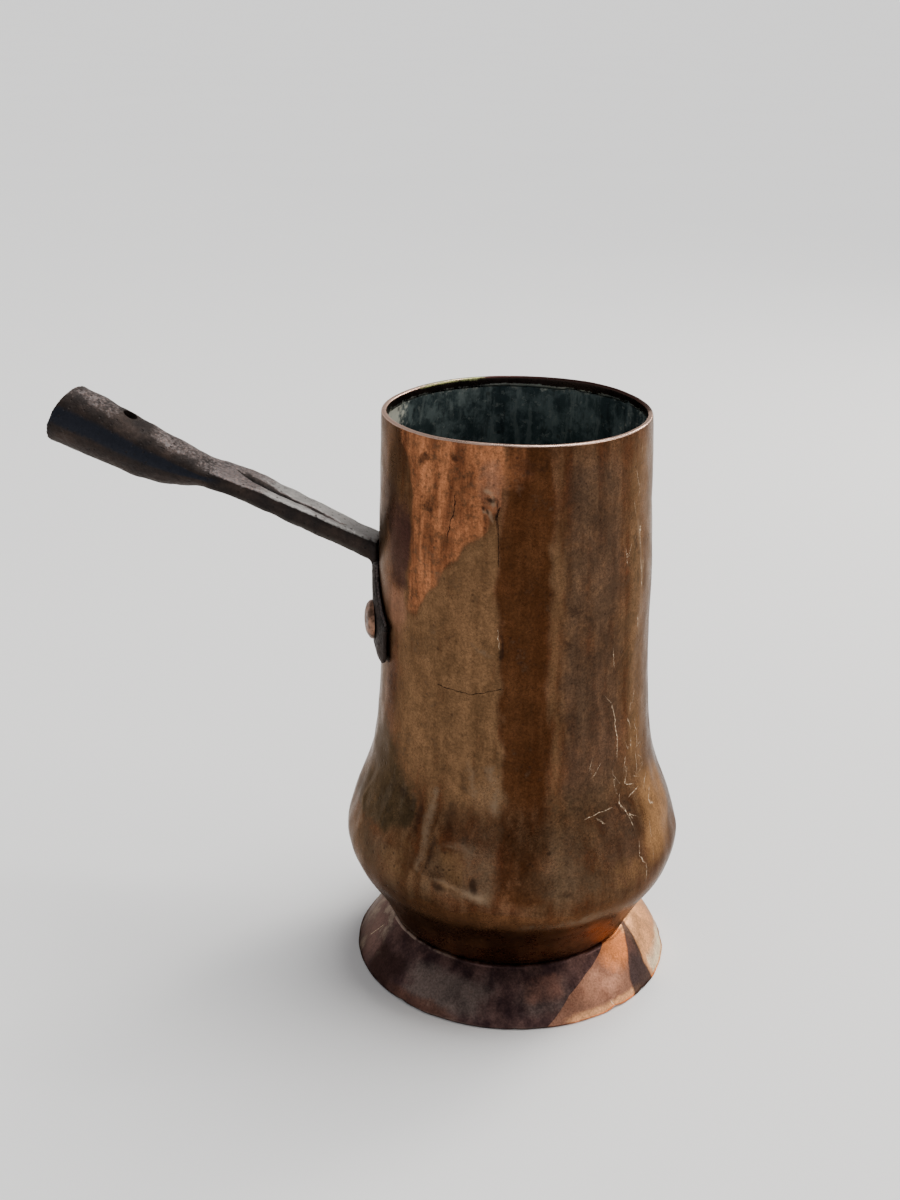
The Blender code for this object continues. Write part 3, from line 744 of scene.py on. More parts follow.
# Where fine scratches are scattered: azimuth, height, spread of each, and how many
FINE_SCRATCHES = (
    (66, 104, 4, 6, 7),
    (44, 104, 5, 5, 4),
    (67, 200, 2, 10, 5),
    (60, 74, 5, 5, 4),
    (140, 100, 10, 12, 6),
    (200, 104, 12, 26, 5),
    (240, 92, 10, 12, 5),
)
FINE_SCRATCH_SEED = 23
FINE_SCRATCH_LENGTHS = (1.5, 6.5)
FINE_SCRATCH_WIDTHS = (0.07, 0.13)
FINE_SCRATCH_LEAN = 0.6
# Distances from a cut are stored as if it had this half width, and they count only within the reach
USUAL_CUT_WIDTH = 0.22
CUT_REACH = (0.7, 1.5)
DARK_CRACKS = (
    ((-19.2, 210), (-19.4, 206), 0.22),
    ((-19.6, 205), (-20.9, 201.4), 0.24),
    ((-21, 200.6), (-22, 196), 0.17),
    ((-1.2, 207), (-2.2, 204), 0.26),
    ((-1.4, 201), (-1.2, 188), 0.15),
    ((-26, 137), (-14, 136), 0.15),
    ((-11, 136), (0, 139), 0.13),
    ((172, 170), (180, 167), 0.20),
)

# Swells that keep the patina's edges from running ruler-straight: how many waves, longest and shortest
# in metres. For azimuth and for height follow the seeds, and how far each swell moves them, in degrees
# and millimetres; the third swell is only on the far side.
SWELLS = ((12, 0.090, 0.030), (30, 0.022, 0.007), (10, 0.150, 0.040))
SWAYS = (((31, 1.1), (32, 0.7), (35, 9.0)), ((33, 1.4), (34, 0.8), (36, 8.0)))


def wandering(turn, height):
    """The same place in degrees and millimetres, moved a little at random."""
    shares = (1.0, 1.0, eased(np.abs(turn), 62, 100))
    return [
        place + sum(
            reach * share * ripples(turn, height, seed, *swell)
            for (seed, reach), share, swell in zip(sways, shares, SWELLS)
        )
        for place, sways in zip((turn, height * 1000), SWAYS)
    ]


def patched(turn, mm, patches):
    """The strongest of some patches: strength, then limits and softness at each, round the pot and up it."""
    return np.maximum.reduce(
        [strength * round_pot(turn, *across) * between(mm, *up) for strength, across, up in patches]
    )


# The tones of the old copper, in patches with straight limits. On the front, the pale patches from -50 to -8, 19.5 to
# 25 and 58 to 84 degrees and the dusky band from 25 to 55 degrees are painted reflections.
ALL_HEIGHTS = (-FAR, FAR, 1, 1)
COPPER_PATCHES = {
    "pink": ((0.85, (-9, -1, 6, 3), (206, 226, 10, 5)), (0.8, (-58, -46, 4, 4), (150, 172, 7, 7))),
    "plum": ((0.7, (-64, -52, 10, 7), (116, 146, 20, 14)), (0.52, (160, 205, 24, 26), (126, 176, 26, 30))),
    "dark": ((0.9, (92, 128, 10, 10), ALL_HEIGHTS), (0.9, (206, 236, 8, 10), ALL_HEIGHTS)),
    "olive": (
        (0.48, (55, 68, 6, 6), (105, 200, 14, 20)),
        (0.52, (18, 50, 8, 6), (84, 100, 6, 8)),
        (0.8, (128, 190, 14, 14), (74, 104, 8, 10)),
    ),
    "beige": (
        (1.0, (-50, -8, 12, 3), (94, 190, 20, 14)),
        (0.62, (19.5, 25, 2.5, 3), (60, 200, 12, 16)),
        (0.85, (58, 84, 7, 8), (100, 226, 14, 12)),
        (0.7, (134, 158, 12, 12), (108, FAR, 8, 1)),
        (0.7, (240, 262, 12, 10), ALL_HEIGHTS),
    ),
    "grey": (
        (0.70, (-28, -6, 5, 6), (57, 75, 4, 8)),
        (0.8, (15, 38, 5, 14), (57, 84, 7, 10)),
        (0.65, (-92, -64, 8, 5), (90, 225, 14, 10)),
        (0.6, (-74, -34, 8, 5), (54, 70, 2, 4)),
    ),
    "dusky": (
        (0.85, (25, 55, 5, 8), (86, 224, 14, 8)),
        (0.70, (36, 58, 8, 8), (54, 92, 6, 8)),
        (0.60, (-66, -40, 8, 8), (56, 72, 4, 5)),
        (0.70, (108, 150, 14, 18), (60, 210, 18, 16)),
    ),
    "ochre": (
        (1.0, (58, 92, 8, 12), (62, 94, 8, 9)),
        (0.55, (58, 74, 7, 7), (92, 122, 6, 12)),
        (0.52, (-22, -9, 6, 5), (60, 76, 5, 6)),
        (0.36, (-46, -29, 7, 4), (58, 76, 5, 5)),
        (0.50, (38, 56, 5, 8), (56, 70, 3, 5)),
        (0.6, (178, 222, 18, 16), (56, 84, 5, 10)),
    ),
    # Painted reflection of the foot's lit copper, glowing low on the belly.
    "reflected_glow": (
        (0.9, (22, 62, 14, 10), (21, 41, 3, 4)),
        (0.75, (-38, -6, 9, 8), (20, 33, 1, 6)),
        (0.65, (8, 26, 6, 8), (20, 34, 1, 6)),
        (0.7, (150, 200, 14, 14), (22, 36, 3, 5)),
    ),
}
# Curved limits, as (place, limit) stations: the edge between the painted dark reflection band down the front and the
# pale painted reflection left of it, and the bare patch's left side by height, its lower edge and the olive patch's
# foot and head by azimuth
DARK_BAND_EDGE = ((60, 0.8), (85, 0.2), (95, 0.9), (112, 0.4), (150, 0.2), (175, -1.0), (195, -1.2), (212, 0.4), (230, 0.0))
BARE_LEFT = ((160, -45.5), (172, -44.1), (183, -42.1), (195, -39.3), (205, -40.2), (220, -44.6), (226, -52))
BARE_FOOT = (
    (-46, 160), (-39, 162.7), (-32.7, 170.9), (-25.8, 178.5), (-22.7, 185.5), (-16.2, 191.7), (-7.2, 198.9),
    (-2.6, 205.5), (0.5, 224),
)
OLIVE_FOOT = ((-72, 72), (-58, 68), (-46, 70.5), (-30, 76.5))
OLIVE_HEAD = ((-72, 112), (-58, 108), (-46, 100), (-38, 93), (-30, 88))
# Where the rim's top starts, and how far round it is rubbed bright and carries a painted highlight
RIM_TOP_MM = (228.7, 229.5)
RUBBED_AND_LIT_RIM = (-152, 97, 8, 6)


def copper_fields(turn, height):
    """Where each tone of the old copper lies, and each painted reflection, highlight and shade, 0 to 1 on each point,
    by name.
    """
    still_turn, still_mm = turn, height * 1000
    turn, mm = wandering(turn, height)
    dark_band_edge, left = (np.interp(mm, *np.transpose(stations)) for stations in (DARK_BAND_EDGE, BARE_LEFT))
    bare_foot, olive_foot, olive_head = (
        np.interp(turn, *np.transpose(stations)) for stations in (BARE_FOOT, OLIVE_FOOT, OLIVE_HEAD)
    )
    bare = (1.0, (left, dark_band_edge, 4, 3), (bare_foot, FAR, 6, 1))
    # The dark band here, and the beige and grey patches that end at its edge, are painted reflections down the front;
    # the bare patch is bared copper.
    curved = {
        "bare": (bare, (0.50, (-4, 14, 4, 8), (211, FAR, 11, 1))),
        "plum": ((1.0, (-61, left - 1, 9, 2.5), (168, 204, 18, 14)),),
        "dark": ((1.0, (dark_band_edge + 0.5, 19, 3.5, 3.5), ALL_HEIGHTS),),
        "olive": ((1.0, (-74, -32, 6, 4), (olive_foot + 0.5, olive_head + 1, 3, 12)),),
        "beige": ((1.0, (-23, dark_band_edge, 9, 3), (92, 206, 8, 10)),),
        "grey": ((0.85, (-10, dark_band_edge, 7, 3), (57, 86, 4, 13)), (0.75, (-12, dark_band_edge, 8, 2), (90, 106, 9, 10))),
    }
    fields = {
        name: patched(turn, mm, curved.get(name, ()) + COPPER_PATCHES.get(name, ()))
        for name in ("bare", *COPPER_PATCHES)
    }
    fields["dark"] *= eased(mm, 54, 62) * (1 - 0.48 * between(mm, 60, 94, 8, 8))
    fields["beige"] *= 1 - patched(turn, mm, (bare,))
    # Painted shade under the belly: the dark reflection below about 53 mm, eased on the front right by the gleam, a
    # painted highlight.
    gleam = 0.35 * round_pot(turn, 8, 60, 8, 10) * eased(mm, 45, 48)
    fields["under"] = (1 - eased(mm, 51.5, 55.5)) * (1 - gleam)
    fields["stain_and_shade"] = np.maximum.reduce([strength * spot(turn, mm, *place) for *place, strength in STAINS])
    top = eased(still_mm, *RIM_TOP_MM)
    behind = 1 - between(still_turn, *RUBBED_AND_LIT_RIM)
    fields["rim_wear_and_highlight"] = top * (1 - 0.95 * behind)
    fields["rim_dark"] = top * behind
    # Painted highlights and painted shade along the listed lines.
    for name, lines in (("highlight_line", HIGHLIGHT_LINES), ("shade_line", SHADE_LINES)):
        fields[name] = np.maximum.reduce(
            [strength * drawn(still_turn, still_mm, points, width) for points, width, strength in lines]
        )
    return fields


def fine_scratches():
    """Short light scratches scattered about each place."""
    draw = np.random.default_rng(FINE_SCRATCH_SEED)
    cuts = []
    for at_turn, at_height, across, up, count in FINE_SCRATCHES:
        for _ in range(count):
            turn, height = draw.normal(at_turn, across), draw.normal(at_height, up)
            length, lie = draw.uniform(*FINE_SCRATCH_LENGTHS), draw.normal(0.0, FINE_SCRATCH_LEAN)
            end = (turn + length * math.sin(lie), height - length * math.cos(lie))
            cuts.append(((turn, height), end, draw.uniform(*FINE_SCRATCH_WIDTHS)))
    return tuple(cuts)


def mark_cuts(mesh, name, turn, height, cuts):
    """Stores the signed distance from the nearest cut's line in millimetres, and where that cut runs."""
    best, side, near = (np.full(height.shape, value) for value in (1e9, 9.0, 0.0))
    for *ends, width in cuts:
        gap, aside = from_segment(turn, height * 1000, *ends)
        closer = gap < best
        best = np.where(closer, gap, best)
        side = np.where(closer, aside / (width / USUAL_CUT_WIDTH), side)
        near = np.where(closer, 1 - eased(gap, *CUT_REACH), near)
    paint(mesh, **{name + "_side": side, name + "_near": near})


def scored(finish, name, wobble, half_width):
    """1 along the cuts stored under this name and 0 away from them."""
    gap = finish.math("ABSOLUTE", finish.math("ADD", wobble, finish.field(name + "_side")))
    return finish.times(finish.field(name + "_near"), finish.ease(gap, half_width * 0.4, half_width, 1.0, 0.0))


def aged_copper():
    finish = Finish("aged_copper")
    ease, worn, times = finish.ease, finish.worn, finish.times
    broad = finish.noise(30.0, 5.0, 0.60)
    cloud = finish.noise(95.0, 6.0, 0.68, shift=3.1)
    streak = finish.noise(170.0, 4.0, 0.64, upright=0.14, shift=7.7)
    fray = finish.noise(380.0, 4.0, 0.72, shift=5.0)
    grain = finish.noise(1250.0, 4.0, 0.72)
    specks = times(ease(finish.cells(330.0, shift=0.4), 0.08, 0.26, 1.0, 0.0), ease(cloud, 0.47, 0.62))
    finish.mottle = finish.plus(-0.5, (fray, 0.28), (cloud, 0.40), (broad, 0.32))
    hatched = finish.blend(ease(streak, 0.46, 0.64, 0.0, 0.8), OLIVE_BROWN, HATCHED_BROWN)
    bare = finish.coated(
        BARE_COPPER,
        (ease(streak, 0.36, 0.68, 0.0, 0.85), RED_BROWN),
        (ease(fray, 0.48, 0.66, 0.0, 0.55), MIDDLE_BROWN),
    )
    tone = finish.coated(
        MIDDLE_BROWN,
        (ease(streak, 0.36, 0.68, 0.0, 0.8), DARK_BROWN),
        (ease(broad, 0.42, 0.66, 0.0, 0.38), RED_BROWN),
        # Beige, dark, dusky and grey hold the painted reflections down the front as well as the copper's tones.
        (worn("beige", 1.9, 0.20, 0.92, 0.85), BEIGE_BROWN),
        (ease(streak, 0.55, 0.68, 0.0, 0.30), RED_BROWN),
        (worn("dark", 1.5, 0.25, 0.82, 0.85), DARK_BROWN),
        (worn("dusky", 2.6, 0.15, 1.10, 0.80), DUSKY_BROWN),
        (worn("grey", 3.0, 0.18, 1.35, 0.80), GREY_BROWN),
        (worn("olive", 2.2, 0.24, 1.00, 0.88), hatched),
        (worn("ochre", 2.8, 0.25, 1.05, 0.85), OCHRE),
        (worn("plum", 2.3, 0.20, 0.92, 0.90), PLUM_BROWN),
        (worn("bare", 2.2, 0.34, 0.72, 0.88), bare),
        (worn("pink", 2.8, 0.25, 1.10, 0.70), PINK_COPPER),
        # Painted shade under the belly.
        (worn("under", 0.7, 0.35, 0.80, 0.92), UNDERSIDE_SHADE_BROWN),
        # Painted reflection of the foot, glowing low on the belly.
        (worn("reflected_glow", 1.8, 0.20, 0.95, 0.90), REFLECTED_GLOW_BROWN),
    )
    tone = finish.shaded(
        tone,
        ease(grain, 0.28, 0.72, 0.66, 1.30),
        ease(cloud, 0.30, 0.70, 1.18, 0.80),
        ease(fray, 0.30, 0.70, 1.16, 0.84),
        ease(streak, 0.32, 0.68, 1.14, 0.84),
    )
    stain_and_shade = worn("stain_and_shade", 3.0, 0.30, 0.85)
    wobble = finish.plus(-1.2, (fray, 2.4))
    gold = times(scored(finish, "scratch", wobble, 0.24), ease(grain, 0.60, 0.42, 0.25, 1.0))
    gold = times(gold, ease(fray, 0.56, 0.47, 0.18, 1.0))
    cracks = scored(finish, "crack", wobble, 0.26)
    tone = finish.coated(
        tone,
        # Painted highlights along the ridges, then painted shade beside them and in creases.
        (worn("highlight_line", 3.4, 0.15, 1.25, 0.74), HIGHLIGHT_BROWN),
        (worn("shade_line", 2.0, 0.20, 0.85, 0.80), STAIN_AND_SHADE_BROWN),
        # Dark stains, with painted shade in the belly's dents, then dark pits.
        (times(stain_and_shade, 0.72), STAIN_AND_SHADE_BROWN),
        (times(specks, 0.55), STAIN_AND_SHADE_BROWN),
        (times(gold, 0.92), PALE_GOLD),
        (cracks, CRACK_BROWN),
        # The rim's top: rubbed wear and a painted highlight in front, darker behind.
        (worn("rim_wear_and_highlight", 1.6, 0.35, 0.85), ROSE_GOLD),
        (finish.field("rim_dark"), RIM_BROWN),
        (finish.field("hem"), HEM_BROWN),
        (worn("verdigris", 4.0, 0.55, 0.90, 0.85), GREEN_TARNISH),
        (worn("hem_edge", 4.6, 0.72, 0.98, 0.90), HEM_EDGE_GREY),
    )
    rough = finish.plus(ease(cloud, 0.30, 0.72, 0.20, 0.34), (stain_and_shade, 0.16), (ease(grain, 0.3, 0.7), 0.09))
    finish.surface(Base_Color=tone, Metallic=1.0, Specular_Tint=EDGE_TINT, Roughness=rough)
    height = times(finish.cells(85.0, "SMOOTH_F1"), 0.50)
    finish.relief(finish.plus(height, (grain, 0.16), (specks, -0.25), (gold, -0.20), (cracks, -0.80)), 0.62, 0.0007)
    return finish.material


def tinned_copper():
    finish = Finish("tinned_copper")
    ease = finish.ease
    cloud = finish.noise(110.0, 6.0, 0.72)
    drips = finish.noise(210.0, 5.0, 0.68, upright=0.22, shift=2.0)
    flecks = finish.noise(420.0, 5.0, 0.75, shift=6.0)
    grain = finish.noise(900.0, 3.0, 0.6)
    ragged = finish.plus(-1.5, (cloud, 1.4), (flecks, 1.6))
    tone = finish.coated(
        DARK_TIN,
        (ease(cloud, 0.44, 0.60), MIDDLE_TIN),
        (ease(drips, 0.52, 0.64, 0.0, 0.55), LIGHT_TIN),
        (ease(drips, 0.46, 0.34, 0.0, 0.60), DEEP_TIN),
        (ease(flecks, 0.57, 0.66, 0.0, 0.55), FLECK_TIN),
        (ease(finish.math("ADD", finish.field("rim_light"), ragged), 0.46, 0.92, 0.0, 0.95), PALE_TIN),
        (ease(finish.cells(190.0), 0.08, 0.22, 0.60, 0.0), SPOT_TIN),
    )
    finish.surface(Base_Color=tone, Metallic=0.85, Roughness=ease(cloud, 0.3, 0.7, 0.42, 0.62))
    finish.relief(finish.plus(finish.times(grain, 0.4), (drips, 0.5)), 0.5, 0.0005)
    return finish.material


COPPER = aged_copper()
TIN = tinned_copper()


def raise_body():
    body = turned("pot_body", body_profile(), BODY_TURN_STEPS, COPPER)
    mesh = body.data
    mesh.materials.clear()
    mesh.materials.append(COPPER)
    mesh.materials.append(TIN)
    points, turn, height, radius = measured(mesh)

    # Which points are inside, on the inner wall, on the hem, on its cut edge, and in its verdigris
    inside = radius < inner_radius(height) + 0.0002
    wall_row = inside & (height < RIM_HEIGHT - 0.0010)
    on_hem = inside & (height > HEM_FOOT - 0.0003) & (height < RIM_HEIGHT - 0.0006)
    on_hem_edge = (radius < wall_radius(height) - 0.0006) & (np.abs(height - HEM_FOOT - 0.0002) < 0.0007)
    green = (height > HEM_FOOT + 0.0025) & (radius < WALL_RADIUS[-1] - 0.0004)

    push_out(points, turn, wall_bend(turn, height))
    points[:, 0] += lean(height)
    points[:, 2] += waved(turn, RIM_WAVES) * eased(height, 0.18, RIM_HEIGHT)
    points[on_hem_edge, 2] += hem_rag(turn)[on_hem_edge]
    pale = [strength * round_pot(turn, *across) * eased(height, *rise) for strength, across, rise in PALE_LINING]
    paint(
        mesh,
        **copper_fields(turn, height),
        hem=on_hem,
        hem_edge=on_hem_edge * (1 - between(turn, -70, 75, 8, 8)),
        verdigris=green * between(turn, -158, -122, 5, 5),
        rim_light=wall_row * np.maximum.reduce(pale),
    )
    mark_cuts(mesh, "scratch", turn, height, GOLD_SCRATCHES + fine_scratches())
    mark_cuts(mesh, "crack", turn, height, DARK_CRACKS)
    tinned = np.array(
        [
            all(wall_row[i] for i in face.vertices)
            and face.center.z > JOINT_HEIGHT + SHEET / 2
            and max(height[i] for i in face.vertices) < HEM_FOOT + 0.0001
            for face in mesh.polygons
        ]
    )
    mesh.polygons.foreach_set("material_index", tinned.astype(np.int32))
    set_down(mesh, points)
    close_up(mesh, crease=55)
    return body


body = raise_body()
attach(body, "root")
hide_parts("body_shell")

# --- Base disc ---
# A disc of tinned copper, cut to fit inside the foot joint. It was let down into the body onto its
# turned-in lip, and a run of solder round its edge holds it there and makes the bottom tight.
DISC_BOTTOM = JOINT_HEIGHT + SHEET + 0.0003
DISC_TOP = DISC_BOTTOM + 0.0015
DISC_RADIUS = float(min(inner_radius(DISC_BOTTOM), inner_radius(DISC_TOP))) - 0.0003
DISC_TURN_STEPS = 128
SOLDER_RISE = 0.0009
SOLDER_WIDTH = 0.0022
DISC_SEED = 31
DISC_SWELLS = (30, 0.030, 0.012)
DISC_SWELL_HEIGHT = 0.00012


def cut_disc():
    rings = [DISC_RADIUS * i / 22 for i in range(1, 20)]
    top = [(radius, DISC_TOP) for radius in (0.0, *rings)]
    for share in (0.0, 0.25, 0.5, 0.75, 1.0):
        top.append((DISC_RADIUS - SOLDER_WIDTH * (1 - share), DISC_TOP + SOLDER_RISE * share**2))
    under = [(radius, DISC_BOTTOM) for radius in (DISC_RADIUS, *reversed(rings), 0.0)]
    disc = turned("pot_base", top + under, DISC_TURN_STEPS, TIN)
    points, turn, height, radius = measured(disc.data)
    beaten = ripples(turn, radius, DISC_SEED, *DISC_SWELLS) * DISC_SWELL_HEIGHT * (1 - eased(radius, 0.034, 0.043))
    bead = DISC_SWELL_HEIGHT * np.cos(23 * np.radians(turn)) * np.cos(7 * np.radians(turn))
    points[:, 2] += beaten * (height > DISC_TOP - 1e-5) + bead * (height > DISC_TOP + 1e-5)
    paint(disc.data, rim_light=np.zeros(len(points)))
    set_down(disc.data, points)
    close_up(disc.data, crease=60)
    return disc


disc = cut_disc()
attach(disc, "root")
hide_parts("base_disc")

# --- Foot ring ---
# A flared ring of copper sheet under the body, soldered to it along the joint. Its lower edge is turned up thick and
# nicked by use. Its colour is painted light and shade: violet-brown on the left and middle as in the body's shadow,
# and rosy, peach and pale on the right as in sunlight.
FOOT_TOP = JOINT_HEIGHT - 0.0003
FOOT_RADIUS = 0.0637
FOOT_SWELL = 0.0018
FOOT_EDGE = 0.0018
FOOT_TURN_STEPS = 320
FOOT_ROWS = 40
FOOT_SEED = 41
# Swells as on the body, and how far each side of the foot is dented in or out
FOOT_COARSE = (9, 0.200, 0.060)
FOOT_COARSE_HEIGHT = 0.00035
FOOT_FINE = (40, 0.020, 0.008)
FOOT_FINE_HEIGHT = 0.00008
FOOT_RIGHT = (0.0011, (47, 123, 16, 16))
FOOT_LEFT = (-0.0007, (-123, -53, 16, 16))
BEAD_HEIGHT = 0.0188
BEAD_HALF_WIDTH = 0.00034
BEAD_RISE = 0.00012
BEAD_SWELLS = (24, 0.060, 0.006)

VIOLET_BROWN = (0.092, 0.051, 0.045)
DUSK_BROWN = (0.040, 0.022, 0.023)
ROSE_COPPER = (0.310, 0.150, 0.096)
DULL_ROSE = (0.205, 0.094, 0.060)
SCUFF_AND_SHEEN_COPPER = (0.190, 0.140, 0.108)
LILAC_BROWN = (0.118, 0.088, 0.076)
SOOT_BROWN = (0.022, 0.011, 0.010)
SHADE_STRIP_BROWN = (0.048, 0.036, 0.037)
BLUSH_BROWN = (0.160, 0.074, 0.054)
FLAME_COPPER = (0.620, 0.200, 0.060)
PEACH_COPPER = (0.790, 0.385, 0.175)
CREAM_COPPER = (0.990, 0.800, 0.540)
MAROON = (0.095, 0.045, 0.032)
OLD_SOLDER = (0.230, 0.165, 0.130)

# Bright scratches on the foot: two ends as (azimuth, height), half width in millimetres
FOOT_SCRATCHES = (
    ((46.0, 2.6), (46.8, 0.4), 0.18),
    ((84.0, 7.8), (89.5, 6.4), 0.14),
    ((94.0, 5.2), (99.0, 4.4), 0.18),
    ((100.5, 3.0), (103.0, 1.0), 0.20),
    ((-69.0, 13.0), (-72.0, 8.0), 0.12),
    ((168.0, 6.0), (172.0, 2.0), 0.14),
    ((214.0, 12.0), (216.0, 9.0), 0.12),
)
# Nicks in the foot's edge: azimuth, width in degrees, depth in millimetres
NICKS = (
    (47, 2.2, 0.8),
    (62, 1.2, 0.4),
    (98, 2.6, 0.9),
    (104, 1.5, 0.5),
    (-36, 1.6, 0.4),
    (8, 1.2, 0.3),
    (171, 2.4, 0.6),
    (226, 1.8, 0.5),
)
# The foot's tones in patches, and by height the curved limits of the painted sunlit side and of the painted dark
# strip across it
FOOT_PATCHES = {
    # Orange, peach and cream are painted sunlight on the right side, cream its brightest highlight.
    "orange": ((1.0, (49, 72, 8, 4), (11, FAR, 5, 1)),),
    "peach": ((1.0, (70, 112, 5, 8), ALL_HEIGHTS), (0.85, (26, 64, 8, 6), (-FAR, 3.75, 1, 2.25))),
    # Scuffs with a painted sheen, in streaks on the foot's left.
    "scuffs_and_sheen": ((1.0, (-112, -64, 9, 9), ALL_HEIGHTS),),
    "soot": ((1.0, (-60, -40, 7, 9), ALL_HEIGHTS),),
    "blush": ((1.0, (12, 29, 6, 6), (8, 17, 3, 2)),),
    "lilac": (
        (1.0, (-38, -2, 8, 8), (3, 15, 3, 4)),
        (0.7, (10, 34, 7, 8), (4, 16, 3, 3)),
        (0.8, (150, 205, 14, 14), (3, 15, 3, 4)),
    ),
    "cream": ((1.0, (72, 104, 3, 8), (0.5, 8, 1, 5)),),
    "maroon": ((1.0, (-52, -18, 8, 10), (-FAR, 4.5, 1, 2)), (0.7, (120, 190, 14, 14), (-FAR, 4.5, 1, 2.5))),
}
SUNLIT_SIDE_LEFT = ((0, 18.8), (1.3, 20.3), (9.3, 29.5), (14.0, 39.2), (18.0, 52.0), (20.0, 57.0))
# Limits of the painted dark strip across the sunlit side.
SHADE_STRIP_LEFT = ((2.7, 57.5), (6.5, 57.5), (11, 60.5), (15.6, 67.5), (18.9, 74.0))
SHADE_STRIP_RIGHT = ((1.3, 71.0), (7.7, 69.5), (13.4, 73.5), (18.9, 78.0))


def foot_profile():
    shares = np.append(np.linspace(0.0, 0.94, FOOT_ROWS), np.linspace(0.95, 1.0, 8))
    joint = WALL_RADIUS[0]
    flank = FOOT_RADIUS + (joint - FOOT_RADIUS) * shares + 4 * FOOT_SWELL * shares * (1 - shares)
    outside = [(r, FOOT_TOP * s) for r, s in zip(flank[::-1], shares[::-1])]
    outside[-1:] = [(flank[0] + 0.0002, 0.0006), (flank[0] - 0.0003, 0.0001)]
    under = FOOT_TOP - SHEET
    inside = [(flank[0] - 0.0009, 0.0), (flank[0] - FOOT_EDGE, 0.0004)]
    inner = [(r - FOOT_EDGE, FOOT_TOP * s) for r, s in zip(flank, shares)]
    inside += [place for place in inner if 0.001 < place[1] < under - SHEET][::3]
    last = float(np.interp(under / FOOT_TOP, shares, flank)) - FOOT_EDGE
    edge = joint - LIP_WIDTH
    loop = outside + inside + [(last, under), (edge, under), (edge, FOOT_TOP)]
    return loop + [loop[0]]


def foot_copper():
    finish = Finish("foot_copper")
    ease, worn = finish.ease, finish.worn
    broad = finish.noise(45.0, 5.0, 0.62)
    cloud = finish.noise(120.0, 5.0, 0.66, shift=2.2)
    streak = finish.noise(150.0, 4.0, 0.6, upright=0.45, shift=4.0)
    grain = finish.noise(1200.0, 4.0, 0.68)
    finish.mottle = finish.plus(-0.5, (cloud, 0.5), (broad, 0.5))
    sunlit_tone = finish.coated(
        ROSE_COPPER,
        (ease(cloud, 0.40, 0.62), DULL_ROSE),
        (worn("peach", 1.4, 0.25, 0.85, 0.9), PEACH_COPPER),
        (worn("orange", 2.6, 0.20, 1.10, 0.80), FLAME_COPPER),
    )
    tone = finish.coated(
        VIOLET_BROWN,
        (ease(streak, 0.34, 0.68), DUSK_BROWN),
        (worn("lilac", 3.4, 0.20, 1.15, 0.85), LILAC_BROWN),
        (worn("maroon", 3.0, 0.25, 1.10, 0.8), MAROON),
        (worn("blush", 3.6, 0.30, 1.10, 0.8), BLUSH_BROWN),
        (worn("soot", 2.8, 0.25, 0.95, 0.9), SOOT_BROWN),
        (finish.times(worn("scuffs_and_sheen", 2.0, 0.25, 0.85), ease(streak, 0.46, 0.60, 0.05, 1.0)), SCUFF_AND_SHEEN_COPPER),
        # The painted sunlit side.
        (worn("sunlit_side", 0.08, 0.46, 0.54), sunlit_tone),
        (worn("cream", 2.0, 0.30, 0.90, 0.9), CREAM_COPPER),
        # A painted dark strip across the sunlit side.
        (worn("shade_strip", 0.9, 0.35, 0.75, 0.90), SHADE_STRIP_BROWN),
    )
    tone = finish.shaded(
        tone,
        ease(grain, 0.28, 0.72, 0.70, 1.28),
        ease(cloud, 0.34, 0.66, 0.84, 1.16),
        ease(streak, 0.34, 0.66, 1.10, 0.88),
    )
    nick = scored(finish, "nick", finish.plus(-1.0, (cloud, 2.0)), 0.26)
    tone = finish.coated(
        tone,
        (worn("solder", 3.0, 0.38, 0.72, 0.95), OLD_SOLDER),
        (worn("edge", 3.2, 0.60, 1.20, 0.35), OLD_SOLDER),
        (finish.times(nick, ease(grain, 0.58, 0.44, 0.2, 0.8)), CREAM_COPPER),
    )
    rough = finish.plus(ease(cloud, 0.30, 0.70, 0.28, 0.44), (grain, 0.08))
    finish.surface(Base_Color=tone, Metallic=1.0, Specular_Tint=EDGE_TINT, Roughness=rough)
    finish.relief(finish.plus(finish.times(finish.cells(100.0, "SMOOTH_F1"), 0.5), (grain, 0.25)), 0.5, 0.0005)
    return finish.material


def foot_fields(turn, mm):
    """Where each tone of the foot lies, with its painted sunlight and shade, 0 to 1 on each point, by name."""
    sunlit_side, shade_strip_left, shade_strip_right = (
        np.interp(mm, *np.transpose(stations)) for stations in (SUNLIT_SIDE_LEFT, SHADE_STRIP_LEFT, SHADE_STRIP_RIGHT)
    )
    fields = {name: patched(turn, mm, patches) for name, patches in FOOT_PATCHES.items()}
    fields["soot"] *= 1 - 0.5 * eased(mm, 9, 15)
    # Painted sunlight on the foot's right, bounded by the edge of the body's painted shadow.
    fields["sunlit_side"] = between(turn, sunlit_side, 120, 4, 8)
    # The painted dark strip across the sunlit side.
    fields["shade_strip"] = between(turn, shade_strip_left, shade_strip_right, 2.5, 2.5)
    fields["solder"] = eased(mm, 18.3, 18.6) * (0.10 + 0.45 * between(turn, -80, -12, 8, 12))
    fields["edge"] = 1 - eased(mm, 0.4, 1.6)
    return fields


